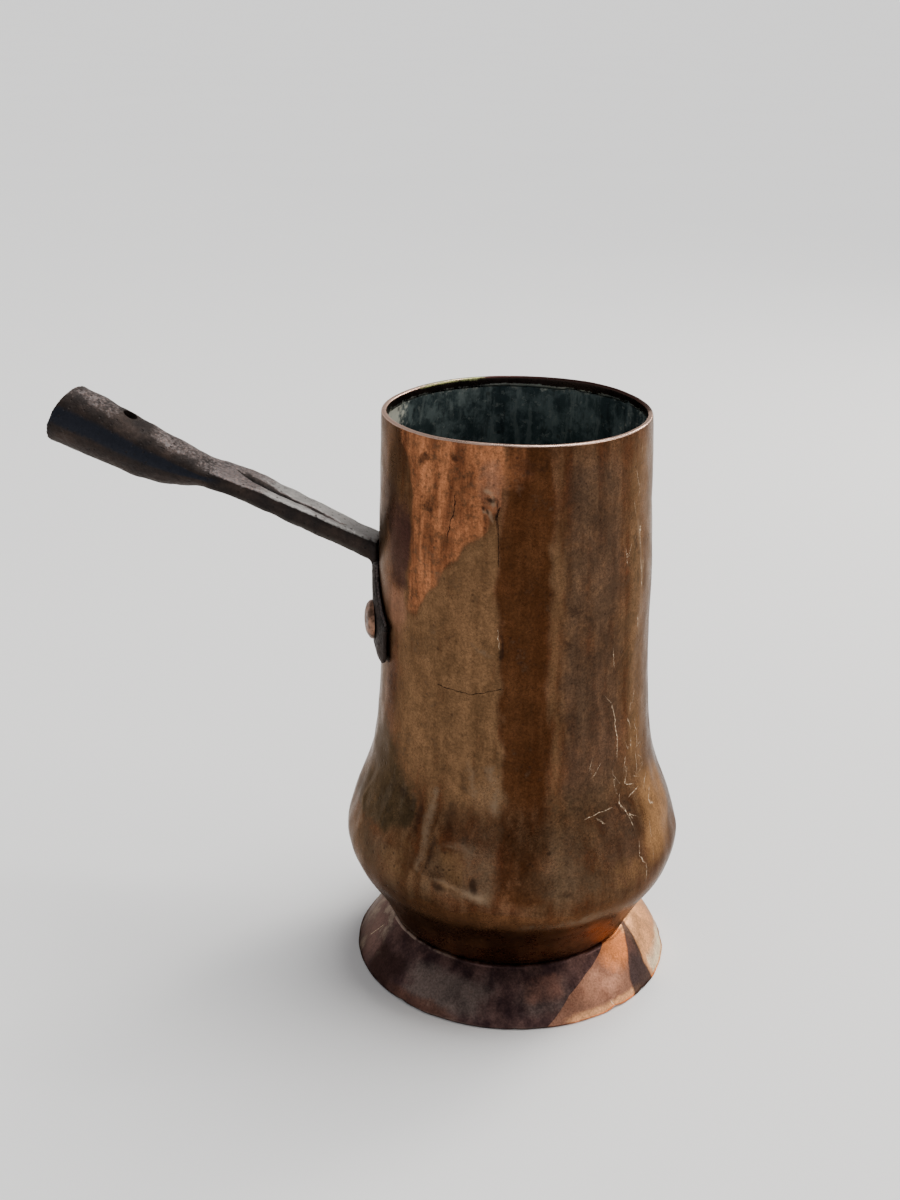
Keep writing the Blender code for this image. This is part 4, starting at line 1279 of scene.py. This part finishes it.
def flare_foot():
    foot = turned("pot_foot", foot_profile(), FOOT_TURN_STEPS, foot_copper())
    points, turn, height, radius = measured(foot.data)
    share = height / FOOT_TOP
    outer = radius > WALL_RADIUS[0] - 0.0035
    bend = FOOT_COARSE_HEIGHT * ripples(turn, height, FOOT_SEED, *FOOT_COARSE) * (1 - eased(share, 0.0, 1.0))
    bend += FOOT_FINE_HEIGHT * ripples(turn, height, FOOT_SEED + 1, *FOOT_FINE)
    swell = sum(rise * round_pot(turn, *across) for rise, across in (FOOT_RIGHT, FOOT_LEFT))
    bend += swell * 4 * share * (1 - share)
    lift = np.zeros_like(height)
    for at, width, depth in NICKS:
        nick = 0.001 * depth * np.exp(-((turned_away(turn, at) / width) ** 2))
        lift += nick * (1 - eased(height, 0.0, 0.0030))
        bend -= 0.6 * nick * (1 - eased(height, 0.0, 0.0040))
    bend *= outer * (1 - eased(share, 0.90, 1.0))
    bead = BEAD_RISE + BEAD_RISE * ripples(turn, height * 0.0, FOOT_SEED + 2, *BEAD_SWELLS)
    bend += outer * np.clip(bead, 0.0, None) * np.exp(-(((height - BEAD_HEIGHT) / BEAD_HALF_WIDTH) ** 2))
    push_out(points, turn, bend)
    points[:, 2] += lift * outer
    paint(foot.data, **foot_fields(turn, height * 1000))
    mark_cuts(foot.data, "nick", turn, height, FOOT_SCRATCHES)
    set_down(foot.data, points)
    close_up(foot.data, crease=50)
    return foot


foot = flare_foot()
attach(foot, "root")
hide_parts("foot_ring")

# --- Handle ---
# One forging of iron: a plate bent round the body, a bar drawn out from it, and a socket rolled
# from the bar's spread end, whose edges meet on top in a fold. A nail hole pins the wooden grip.
PLATE_SHEET = 0.0027
PLATE_GAP = 0.0003
PLATE_TOP = RIM_HEIGHT - 0.0617
PLATE_HEIGHT = 0.0340
PLATE_DROPS = (0.0, 0.0135, 0.0170, 0.0180, 0.0190, 0.0210, 0.0320, 0.0340)
PLATE_HALF_WIDTHS = (0.0105, 0.0240, 0.0290, 0.0300, 0.0295, 0.0285, 0.0280, 0.0262)
BEND_RADIUS = 0.0025
BEND_DROP = 0.0014
ROOT_DEPTH = 0.0160
ROOT_THICKNESS = 0.0025
BAR_LENGTH = 0.0565
BAR_TILT = math.radians(23.5)
BAR_ROOT_SIZE = (0.0084, 0.0130)
BAR_END_SIZE = (0.0072, 0.0202)
SOCKET_LENGTH = 0.0730
SOCKET_TILT = math.radians(20.0)
SOCKET_SAG = 0.0028
MOUTH_RADIUS = 0.0123
MOUTH_SKEW = math.radians(16.0)
MOUTH_SKEW_TURN = math.radians(195.0)
SOCKET_WALL = 0.0026
SOCKET_DEPTH = 0.0450
SOCKET_SHARES = (0.0, 0.08, 0.20, 0.34, 0.52, 0.72, 1.0)
SOCKET_GROWTH = (0.0, 0.0, 0.15, 0.49, 0.72, 0.84, 1.0)
NAIL_HOLE_RADIUS = 0.0029
NAIL_HOLE_INSET = 0.0216
BAR_SQUARENESS = 6.0
RING_SIDES = 80
ELBOW_STEPS = 13
BAR_STEPS = 25
SOCKET_STEPS = 40
BORE_STEPS = 14
# Where the socket's plain sections end outside and start inside, short of its skewed mouth
SOCKET_SKIN_END = 0.85
BORE_SKIN_START = 0.93
PLATE_COLUMNS = 61
PLATE_ROWS = 36
PLATE_EDGE_SHARE = 0.62
PLATE_EDGE_WIDTH = 0.005
FORGE_GRAIN = 0.00050
# Hammer marks and scale: seed, how many swells, longest and shortest in metres; and their heights
HAMMER_MARKS = (51, 40, 0.026, 0.009)
HAMMER_MARK_HEIGHT = 0.00016
SCALE_MARKS = (52, 50, 0.006, 0.003)
SCALE_MARK_HEIGHT = 0.00005
NAIL_CUTTER_LENGTH = 0.009
LEAN_AT_PLATE = float(lean(0.150))

BLACK_IRON = (0.013, 0.010, 0.0095)
BROWN_IRON = (0.030, 0.020, 0.016)
WORN_AND_LIT_IRON = (0.145, 0.126, 0.123)
PINK_IRON = (0.240, 0.170, 0.152)
BLUE_IRON = (0.009, 0.011, 0.017)
BARED_AND_LIT_IRON = (0.270, 0.262, 0.250)
OLIVE_IRON = (0.078, 0.071, 0.062)
PIT_IRON = (0.012, 0.010, 0.010)
HOLLOW_SHADE_IRON = (0.006, 0.005, 0.005)
IRON_TINT = (0.60, 0.55, 0.52)

# The folds on top of the bar: distance along the bar, place across, width and depth in millimetres
FOLD = (
    (18.0, -2.7, 0.4, 0.3),
    (24.0, -2.7, 0.6, 0.7),
    (33.0, -2.7, 0.8, 1.0),
    (41.0, -2.5, 1.4, 1.4),
    (48.0, -2.2, 1.5, 1.6),
    (53.0, -1.3, 1.1, 1.3),
    (57.5, 0.4, 0.8, 1.0),
    (60.0, 1.8, 0.6, 0.8),
    (62.0, 3.4, 0.5, 0.4),
)
SECOND_FOLD = ((13.0, -3.4, 0.4, 0.3), (24.0, -3.9, 0.5, 0.6), (31.0, -4.2, 0.4, 0.4))


def plate_wall(height):
    return float(wall_radius(height)) + PLATE_GAP


def ring_of(reach, height, tilt, half_thickness, half_width, squareness=BAR_SQUARENESS, skew=0.0):
    """Points round one rounded section of the forging."""
    angle = 2 * np.pi * (np.arange(RING_SIDES) + 0.5) / RING_SIDES
    across, up = (
        half * np.sign(wave) * np.abs(wave) ** (2 / squareness)
        for half, wave in ((half_width, np.cos(angle)), (half_thickness, np.sin(angle)))
    )
    ahead = math.tan(skew) * (math.cos(MOUTH_SKEW_TURN) * across + math.sin(MOUTH_SKEW_TURN) * up)
    x = -reach + up * math.sin(tilt) - ahead * math.cos(tilt)
    return np.column_stack((x, across, height + up * math.cos(tilt) + ahead * math.sin(tilt)))


def root_rings():
    """Sections up the plate's middle and round the elbow, and where the bar starts."""
    pivot_reach = plate_wall(PLATE_TOP) + PLATE_SHEET + BEND_RADIUS
    pivot_height = PLATE_TOP - BEND_DROP
    room = pivot_reach - plate_wall(PLATE_TOP) - PLATE_GAP / 2
    half_width = BAR_ROOT_SIZE[1] / 2
    rings = []
    for share, fullness in ((1.0, 0.6), (0.75, 0.8), (0.5, 0.9), (0.25, 0.95)):
        height = PLATE_TOP - ROOT_DEPTH * share
        middle = plate_wall(height) + (PLATE_SHEET + PLATE_GAP) / 2
        rings.append(ring_of(middle, height, math.pi / 2, fullness * (PLATE_SHEET - PLATE_GAP) / 2, half_width))
    for share in np.linspace(0.0, 1.0, ELBOW_STEPS):
        tilt = math.pi / 2 + (BAR_TILT - math.pi / 2) * share
        full = ROOT_THICKNESS + (BAR_ROOT_SIZE[0] - ROOT_THICKNESS) * float(eased(share, 0.0, 1.0))
        thickness = min(full, room / math.sin(tilt) - BEND_RADIUS)
        out = BEND_RADIUS + thickness / 2
        place = (pivot_reach - out * math.sin(tilt), pivot_height + out * math.cos(tilt))
        rings.append(ring_of(*place, tilt, thickness / 2, half_width))
    return rings, place


ROOT_RINGS, BAR_START = root_rings()
BAR_END = (BAR_START[0] + BAR_LENGTH * math.cos(BAR_TILT), BAR_START[1] + BAR_LENGTH * math.sin(BAR_TILT))


def socket_place(share):
    """Centre, tilt and half sizes of the socket at this share of its length."""
    sag = SOCKET_SAG * math.sin(math.pi * share) ** 2
    tilt = SOCKET_TILT - SOCKET_SAG * math.pi * math.sin(2 * math.pi * share) / SOCKET_LENGTH
    reach = BAR_END[0] + SOCKET_LENGTH * math.cos(SOCKET_TILT) * share
    height = BAR_END[1] + SOCKET_LENGTH * math.sin(SOCKET_TILT) * share - sag
    growth = (float(smooth_curve(SOCKET_SHARES, SOCKET_GROWTH, share)), float(eased(share, 0.0, 1.0)))
    thickness, width = (size + (2 * MOUTH_RADIUS - size) * grown for size, grown in zip(BAR_END_SIZE, growth))
    return reach, height, tilt, thickness / 2, width / 2


def socket_ring(share, wall=0.0, skew=0.0):
    reach, height, tilt, half_thickness, half_width = socket_place(share)
    squareness = 2 + (BAR_SQUARENESS - 2) * (1 - float(eased(share, 0.0, 0.22)))
    return ring_of(reach, height, tilt, half_thickness - wall, half_width - wall, squareness, skew)


def forging_rings():
    rings = list(ROOT_RINGS)
    for share in np.linspace(0.0, 1.0, BAR_STEPS)[1:]:
        place = (a + (b - a) * share for a, b in zip(BAR_START, BAR_END))
        thickness, width = (a + (b - a) * share for a, b in zip(BAR_ROOT_SIZE, BAR_END_SIZE))
        rings.append(ring_of(*place, BAR_TILT, thickness / 2, width / 2))
    rings += [socket_ring(share) for share in np.linspace(0.0, SOCKET_SKIN_END, SOCKET_STEPS)[1:]]
    rings += [socket_ring(1.0, wall, MOUTH_SKEW) for wall in (0.0003, SOCKET_WALL - 0.0002)]
    deepest = 1 - SOCKET_DEPTH / SOCKET_LENGTH
    rings += [socket_ring(share, SOCKET_WALL) for share in np.linspace(BORE_SKIN_START, deepest, BORE_STEPS)]
    return rings


def plate_points(outer):
    """The plate's grid of points on its outer or inner face, thinned towards its hammered edges."""
    sides = np.linspace(-1.0, 1.0, PLATE_COLUMNS)
    grid = []
    for drop in np.linspace(0.0, PLATE_HEIGHT, PLATE_ROWS):
        half = np.interp(drop, PLATE_DROPS, PLATE_HALF_WIDTHS)
        across = half * sides
        wall = plate_wall(PLATE_TOP - drop)
        from_edge = np.minimum(half - np.abs(across), PLATE_HEIGHT - drop)
        inwards = eased(from_edge, 0.0, PLATE_EDGE_WIDTH)
        thick = PLATE_SHEET * (PLATE_EDGE_SHARE + (1 - PLATE_EDGE_SHARE) * inwards)
        radius = wall + outer * thick
        angle = across / (wall + PLATE_SHEET)
        grid.append(np.column_stack((-radius * np.cos(angle), radius * np.sin(angle), 0 * sides + PLATE_TOP - drop)))
    return np.array(grid)


def skin_rings(work, rings):
    rows = [[work.verts.new(point) for point in ring] for ring in rings]
    for row, following in zip(rows, rows[1:]):
        for i in range(len(row)):
            j = (i + 1) % len(row)
            work.faces.new((row[i], row[j], following[j], following[i]))
    work.faces.new(reversed(rows[0]))
    work.faces.new(rows[-1])


def skin_slab(work, front, back):
    """Closes two grids of points into a slab."""
    high, wide = front.shape[:2]
    sheets = [[[work.verts.new(grid[i, j]) for j in range(wide)] for i in range(high)] for grid in (front, back)]
    for sheet in sheets:
        for i in range(high - 1):
            for j in range(wide - 1):
                work.faces.new((sheet[i][j], sheet[i][j + 1], sheet[i + 1][j + 1], sheet[i + 1][j]))
    border = [(0, j) for j in range(wide - 1)] + [(i, wide - 1) for i in range(high - 1)]
    border += [(high - 1, j) for j in range(wide - 1, 0, -1)] + [(i, 0) for i in range(high - 1, 0, -1)]
    for (a, b), (c, d) in zip(border, border[1:] + border[:1]):
        work.faces.new((sheets[0][a][b], sheets[0][c][d], sheets[1][c][d], sheets[1][a][b]))


def weld_skin(made):
    """Welds bar and plate into one skin of even grain, and evens out its small steps."""
    weld = made.modifiers.new("Forged Together", "REMESH")
    weld.mode = "VOXEL"
    weld.voxel_size = FORGE_GRAIN
    mesh = applied(made)
    work = bmesh.new()
    work.from_mesh(mesh)
    for _ in range(2):
        bmesh.ops.smooth_vert(work, verts=work.verts, factor=0.5, use_axis_x=True, use_axis_y=True, use_axis_z=True)
    work.to_mesh(mesh)
    work.free()
    return mesh


def punch_nail_hole(made):
    reach, height, tilt, half_thickness, _ = socket_place(1 - NAIL_HOLE_INSET / SOCKET_LENGTH)
    up = Vector((math.sin(tilt), 0.0, math.cos(tilt)))
    centre = Vector((AXIS_X - reach, 0.0, height)) + (half_thickness - SOCKET_WALL / 2) * up
    place = Matrix.Translation(centre) @ up.to_track_quat("Z", "Y").to_matrix().to_4x4()
    mesh = bpy.data.meshes.new("nail_cutter")
    work = bmesh.new()
    ends = {"radius1": NAIL_HOLE_RADIUS, "radius2": NAIL_HOLE_RADIUS}
    bmesh.ops.create_cone(work, cap_ends=True, segments=32, depth=NAIL_CUTTER_LENGTH, matrix=place, **ends)
    work.to_mesh(mesh)
    work.free()
    cutter = linked("nail_cutter", mesh)
    cut = made.modifiers.new("Nail Hole", "BOOLEAN")
    cut.operation = "DIFFERENCE"
    cut.solver = "EXACT"
    cut.object = cutter
    cut_mesh = applied(made)
    bpy.data.objects.remove(cutter, do_unlink=True)
    return cut_mesh


def hammered(points, seed, count, longest, shortest):
    """Random swell in space, about -1 to 1."""
    draw = np.random.default_rng(seed)
    total = np.zeros(len(points))
    for _ in range(count):
        way = draw.normal(size=3)
        way *= 2 * math.pi / (np.linalg.norm(way) * shortest * (longest / shortest) ** draw.random())
        total += np.cos(points @ way + draw.random() * 2 * math.pi)
    return total / math.sqrt(count)


def fold_depth(along, across, fold):
    stations, *lines = np.transpose(fold)
    middle, width, depth = (np.interp(along, stations, line) for line in lines)
    return depth * between(along, stations[0], stations[-1], 1.0, 1.0) * np.exp(-(((across - middle) / width) ** 2))


def bore_points(reach, across, height):
    """Which points lie on the inside of the socket."""
    ahead, rise = math.cos(SOCKET_TILT), math.sin(SOCKET_TILT)
    reach, height = reach - BAR_END[0], height - BAR_END[1]
    share = (reach * ahead + height * rise) / SOCKET_LENGTH
    sag = SOCKET_SAG * np.sin(np.pi * np.clip(share, 0, 1)) ** 2
    off = height * ahead - reach * rise + sag * ahead
    grown = np.interp(share, SOCKET_SHARES, SOCKET_GROWTH)
    half = (BAR_END_SIZE[0] + (2 * MOUTH_RADIUS - BAR_END_SIZE[0]) * grown) / 2
    return (share > 0.36) & (np.hypot(off, across) < half - SOCKET_WALL * 0.55)


def forged_iron():
    finish = Finish("forged_iron")
    ease, worn = finish.ease, finish.worn
    cloud = finish.noise(110.0, 4.0, 0.6)
    grain = finish.noise(750.0, 4.0, 0.7, shift=2.0)
    flecks = ease(finish.noise(1500.0, 2.0, 0.6, shift=6.0), 0.50, 0.64)
    pits = ease(finish.cells(420.0, shift=1.0), 0.08, 0.26, 0.75, 0.0)
    finish.mottle = finish.plus(-0.5, (finish.math("ADD", cloud, grain), 0.5))
    # What faces up is worn and also painted lighter, as if lit from above.
    rubbed_and_lit = worn("worn", 2.4, 0.30, 0.85)
    side_grey = finish.math("ADD", finish.mottle, finish.field("side_grey"))
    tone = finish.coated(
        BLACK_IRON,
        (ease(cloud, 0.34, 0.70), BROWN_IRON),
        # Painted shade on the socket's sides, bluish black.
        (worn("blued", 1.0, 0.25, 0.80), BLUE_IRON),
        (finish.times(rubbed_and_lit, ease(grain, 0.34, 0.66, 0.45, 1.0)), finish.blend(flecks, WORN_AND_LIT_IRON, PINK_IRON)),
        (worn("bared", 2.8, 0.35, 1.10, 0.85), BARED_AND_LIT_IRON),
        (ease(side_grey, 0.2, 0.9, 0.0, 0.6), OLIVE_IRON),
        (pits, PIT_IRON),
        # Painted shade in the folds' grooves and in the socket's bore.
        (finish.field("hollow"), HOLLOW_SHADE_IRON),
    )
    rough = finish.plus(ease(grain, 0.30, 0.70, 0.46, 0.68), (rubbed_and_lit, -0.08))
    finish.surface(
        Base_Color=tone, Metallic=0.55, Specular_IOR_Level=0.35, Specular_Tint=IRON_TINT, Roughness=rough
    )
    height = finish.times(finish.cells(260.0, "SMOOTH_F1"), 0.5)
    finish.relief(finish.plus(height, (grain, 0.6), (pits, -0.5)), 0.75, 0.0007)
    return finish.material


def forge_handle():
    mesh = bpy.data.meshes.new("pot_handle")
    work = bmesh.new()
    skin_rings(work, forging_rings())
    skin_slab(work, plate_points(True), plate_points(False))
    bmesh.ops.recalc_face_normals(work, faces=work.faces)
    work.to_mesh(mesh)
    work.free()
    handle = linked("pot_handle", mesh)
    mesh = weld_skin(handle)
    points = points_of(mesh)
    normals = np.empty(len(points) * 3, np.float32)
    mesh.vertex_normals.foreach_get("vector", normals)
    normals = normals.reshape(-1, 3).astype(float)

    # Where each point lies along the bar, up from it and across it, in millimetres
    reach, side, height = -points[:, 0], points[:, 1].copy(), points[:, 2].copy()
    ahead, rise = 1000 * math.cos(BAR_TILT), 1000 * math.sin(BAR_TILT)
    along = (reach - BAR_START[0]) * ahead + (height - BAR_START[1]) * rise
    up = (height - BAR_START[1]) * ahead - (reach - BAR_START[0]) * rise
    across = side * 1000

    # The hammer's marks, left out where the plate touches the wall; then the folds, and the pot's lean
    free = eased(along, -2.0, 8.0)
    facing_up = eased(normals[:, 2], 0.25, 0.75)
    beaten = HAMMER_MARK_HEIGHT * hammered(points, *HAMMER_MARKS)
    beaten += SCALE_MARK_HEIGHT * hammered(points, *SCALE_MARKS)
    outward = np.hypot(reach, side) - (wall_radius(height) + PLATE_GAP)
    touching = (1 - free) * (1 - eased(outward, 0.0006, 0.0016))
    points += normals * (beaten * (1 - touching) * (0.45 + 0.55 * free))[:, None]
    in_bore = (along > 76) & bore_points(-points[:, 0], points[:, 1], points[:, 2])
    groove = np.maximum(fold_depth(along, across, FOLD), fold_depth(along, across, SECOND_FOLD))
    groove *= (up > 0.5) * facing_up
    points += 0.001 * groove[:, None] * np.array((-math.sin(BAR_TILT), 0.0, -math.cos(BAR_TILT)))
    points[:, 0] += LEAN_AT_PLATE * (1 - eased(along, 0.0, 55.0))

    # Wear on what faces up, which is also painted lighter as light falls from above: less on the socket, least before
    # its mouth, little beyond the fold's thick end, where a painted shadow of the fold's raised lip lies
    worn = eased(normals[:, 2] - 0.16 * eased(along, 58, 72), 0.35, 0.85)
    worn *= (1 - 0.25 * eased(along, 55, 75)) * (1 - 0.72 * between(along, 97, 110, 6, 4))
    beyond = across - np.interp(along, *np.transpose(FOLD)[:2])
    lit = 1 - 0.75 * between(along, 44, 58, 3, 2) * between(beyond, 0.0, 3.2, 0.4, 1.2)
    paint(
        mesh,
        worn=worn * (1 - eased(groove, 0.15, 0.5)) * lit,
        bared=facing_up * between(along, -4, 50, 3, 8) * (1 - eased(groove, 0.05, 0.3)) * lit,
        side_grey=eased(-normals[:, 1], 0.5, 0.9) * between(up, -9.0, -2.0, 0.5, 2.4) * between(along, 2, 60, 4, 6),
        # Painted shade on the socket's sides, bluish black.
        blued=between(normals[:, 2], -0.1, 0.45, 0.25, 0.2) * eased(along, 55, 75),
        # Painted shade in the folds' grooves and in the socket's bore.
        hollow=np.maximum(eased(groove, 0.35, 0.9), in_bore * 0.8),
    )
    set_down(mesh, points)
    mesh.materials.clear()
    mesh.materials.append(forged_iron())
    mesh = punch_nail_hole(handle)
    mesh.shade_smooth()
    mesh.set_sharp_from_angle(angle=math.radians(60))
    return handle


handle = forge_handle()
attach(handle, "root")
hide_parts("handle")

# --- Rivets ---
# Two copper rivets side by side hold the plate. Their heads are hammered to low domes outside,
# and their tails are upset flat inside the body.
RIVET_HEIGHT = PLATE_TOP - 0.0200
RIVET_SPREAD = 0.0292
PLATE_OUTSIDE = plate_wall(RIVET_HEIGHT) + PLATE_SHEET
RIVET_TURN = math.asin(RIVET_SPREAD / 2 / PLATE_OUTSIDE)
RIVET_HEAD_RADIUS = 0.0076
RIVET_HEAD_HEIGHT = 0.0032
RIVET_SHANK_RADIUS = 0.0030
RIVET_GRIP = PLATE_SHEET + SHEET + PLATE_GAP + 0.0006
RIVET_TAIL_RADIUS = 0.0052
RIVET_TAIL_HEIGHT = 0.0013
RIVET_SEGMENTS = 56
RIVET_RINGS = 36
DRUM_SIDES = 40
HAMMER_DEPTH = 0.00035
HAMMER_SEED = 3.7

RIVET_BROWN = (0.085, 0.048, 0.032)
RIVET_COPPER = (0.250, 0.138, 0.092)
RIVET_RED = (0.400, 0.160, 0.085)


def rivet_form():
    """A hammered rivet on each face of the mesh, its axis along the face's normal."""
    form = Form(
        "hammered_rivets", Places="Geometry", Head_Radius="Float", Head_Height="Float", Shank_Radius="Float",
        Grip="Float", Tail_Radius="Float", Tail_Height="Float", Hammer_Depth="Float", Hammer_Seed="Float",
        Metal="Material",
    )
    given, math_of, times = form.given, form.math, form.times
    values = (("Segments", RIVET_SEGMENTS), ("Rings", RIVET_RINGS), ("Radius", 1.0))
    ball = form.add("GeometryNodeMeshUVSphere", values)
    x, y, z = form.split(form.add("GeometryNodeInputPosition"))
    values = (("W", given["Hammer_Seed"]), ("Scale", 1.9), ("Detail", 1.0))
    noise = form.add("ShaderNodeTexNoise", values, noise_dimensions="4D")
    beat = times(math_of("SUBTRACT", noise, 0.5), given["Hammer_Depth"])
    dome = math_of("POWER", math_of("MAXIMUM", z, 0.0), 0.85)
    high = math_of("ADD", times(dome, given["Head_Height"]), times(times(beat, 2.4), dome))
    wide = math_of("ADD", given["Head_Radius"], times(beat, 1.6))
    head = form.welded(form.moved(ball, times(x, wide), times(y, wide), high), 1e-6)

    def drum(radius, depth, top):
        values = (("Vertices", DRUM_SIDES), ("Radius", radius), ("Depth", depth))
        plain = form.add("GeometryNodeMeshCylinder", values)
        middle = form.place(0.0, 0.0, math_of("SUBTRACT", top, times(depth, 0.5)))
        return form.add("GeometryNodeTransform", (("Geometry", plain), ("Translation", middle)))

    shank = drum(given["Shank_Radius"], math_of("ADD", given["Grip"], 0.0006), 0.0003)
    tail = drum(given["Tail_Radius"], given["Tail_Height"], times(given["Grip"], -1.0))
    rivet = form.add("GeometryNodeJoinGeometry", ((0, tail), (0, shank), (0, head)))
    normal = form.add("GeometryNodeInputNormal")
    axis = form.add("FunctionNodeAlignRotationToVector", (("Vector", normal),), axis="Z")
    values = (("Points", given["Places"]), ("Instance", rivet), ("Rotation", axis))
    return form.finished(form.add("GeometryNodeInstanceOnPoints", values))


def rivet_copper():
    finish = Finish("rivet_copper")
    cloud = finish.noise(260.0, 4.0, 0.6)
    grain = finish.noise(900.0, 4.0, 0.7)
    tone = finish.coated(
        RIVET_BROWN,
        (finish.ease(cloud, 0.34, 0.66), RIVET_COPPER),
        (finish.ease(finish.noise(190.0, shift=8.0), 0.54, 0.68), RIVET_RED),
        (finish.ease(grain, 0.46, 0.30, 0.0, 0.7), STAIN_AND_SHADE_BROWN),
    )
    finish.surface(Base_Color=tone, Metallic=1.0, Roughness=finish.ease(grain, 0.3, 0.7, 0.36, 0.54))
    finish.relief(grain, 0.5, 0.0003)
    return finish.material


def drive_rivets():
    """Sets a small face square to each rivet's axis, on which the tree puts the rivet."""
    small = 1e-5
    points = []
    for side in (1, -1):
        turn = side * RIVET_TURN
        outward = Vector((-math.cos(turn), -math.sin(turn), 0.0))
        sideways = Vector((-outward.y, outward.x, 0.0))
        centre = outward * (PLATE_OUTSIDE + 0.0001) + Vector((AXIS_X + LEAN_AT_PLATE, 0.0, RIVET_HEIGHT))
        for across, up in ((1, 0), (-0.5, 0.866), (-0.5, -0.866)):
            points.append(centre + small * (across * sideways + up * Vector((0, 0, 1))))
    mesh = bpy.data.meshes.new("pot_rivets")
    mesh.from_pydata(points, [], [(0, 1, 2), (3, 4, 5)])
    rivets = linked("pot_rivets", mesh)
    rivet_form().grow(
        rivets, Head_Radius=RIVET_HEAD_RADIUS, Head_Height=RIVET_HEAD_HEIGHT, Shank_Radius=RIVET_SHANK_RADIUS,
        Grip=RIVET_GRIP, Tail_Radius=RIVET_TAIL_RADIUS, Tail_Height=RIVET_TAIL_HEIGHT,
        Hammer_Depth=HAMMER_DEPTH, Hammer_Seed=HAMMER_SEED, Metal=rivet_copper(),
    )
    return rivets


rivets = drive_rivets()
close_up(rivets.data, crease=45)
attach(rivets, "root")
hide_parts("rivet_front", "rivet_rear")
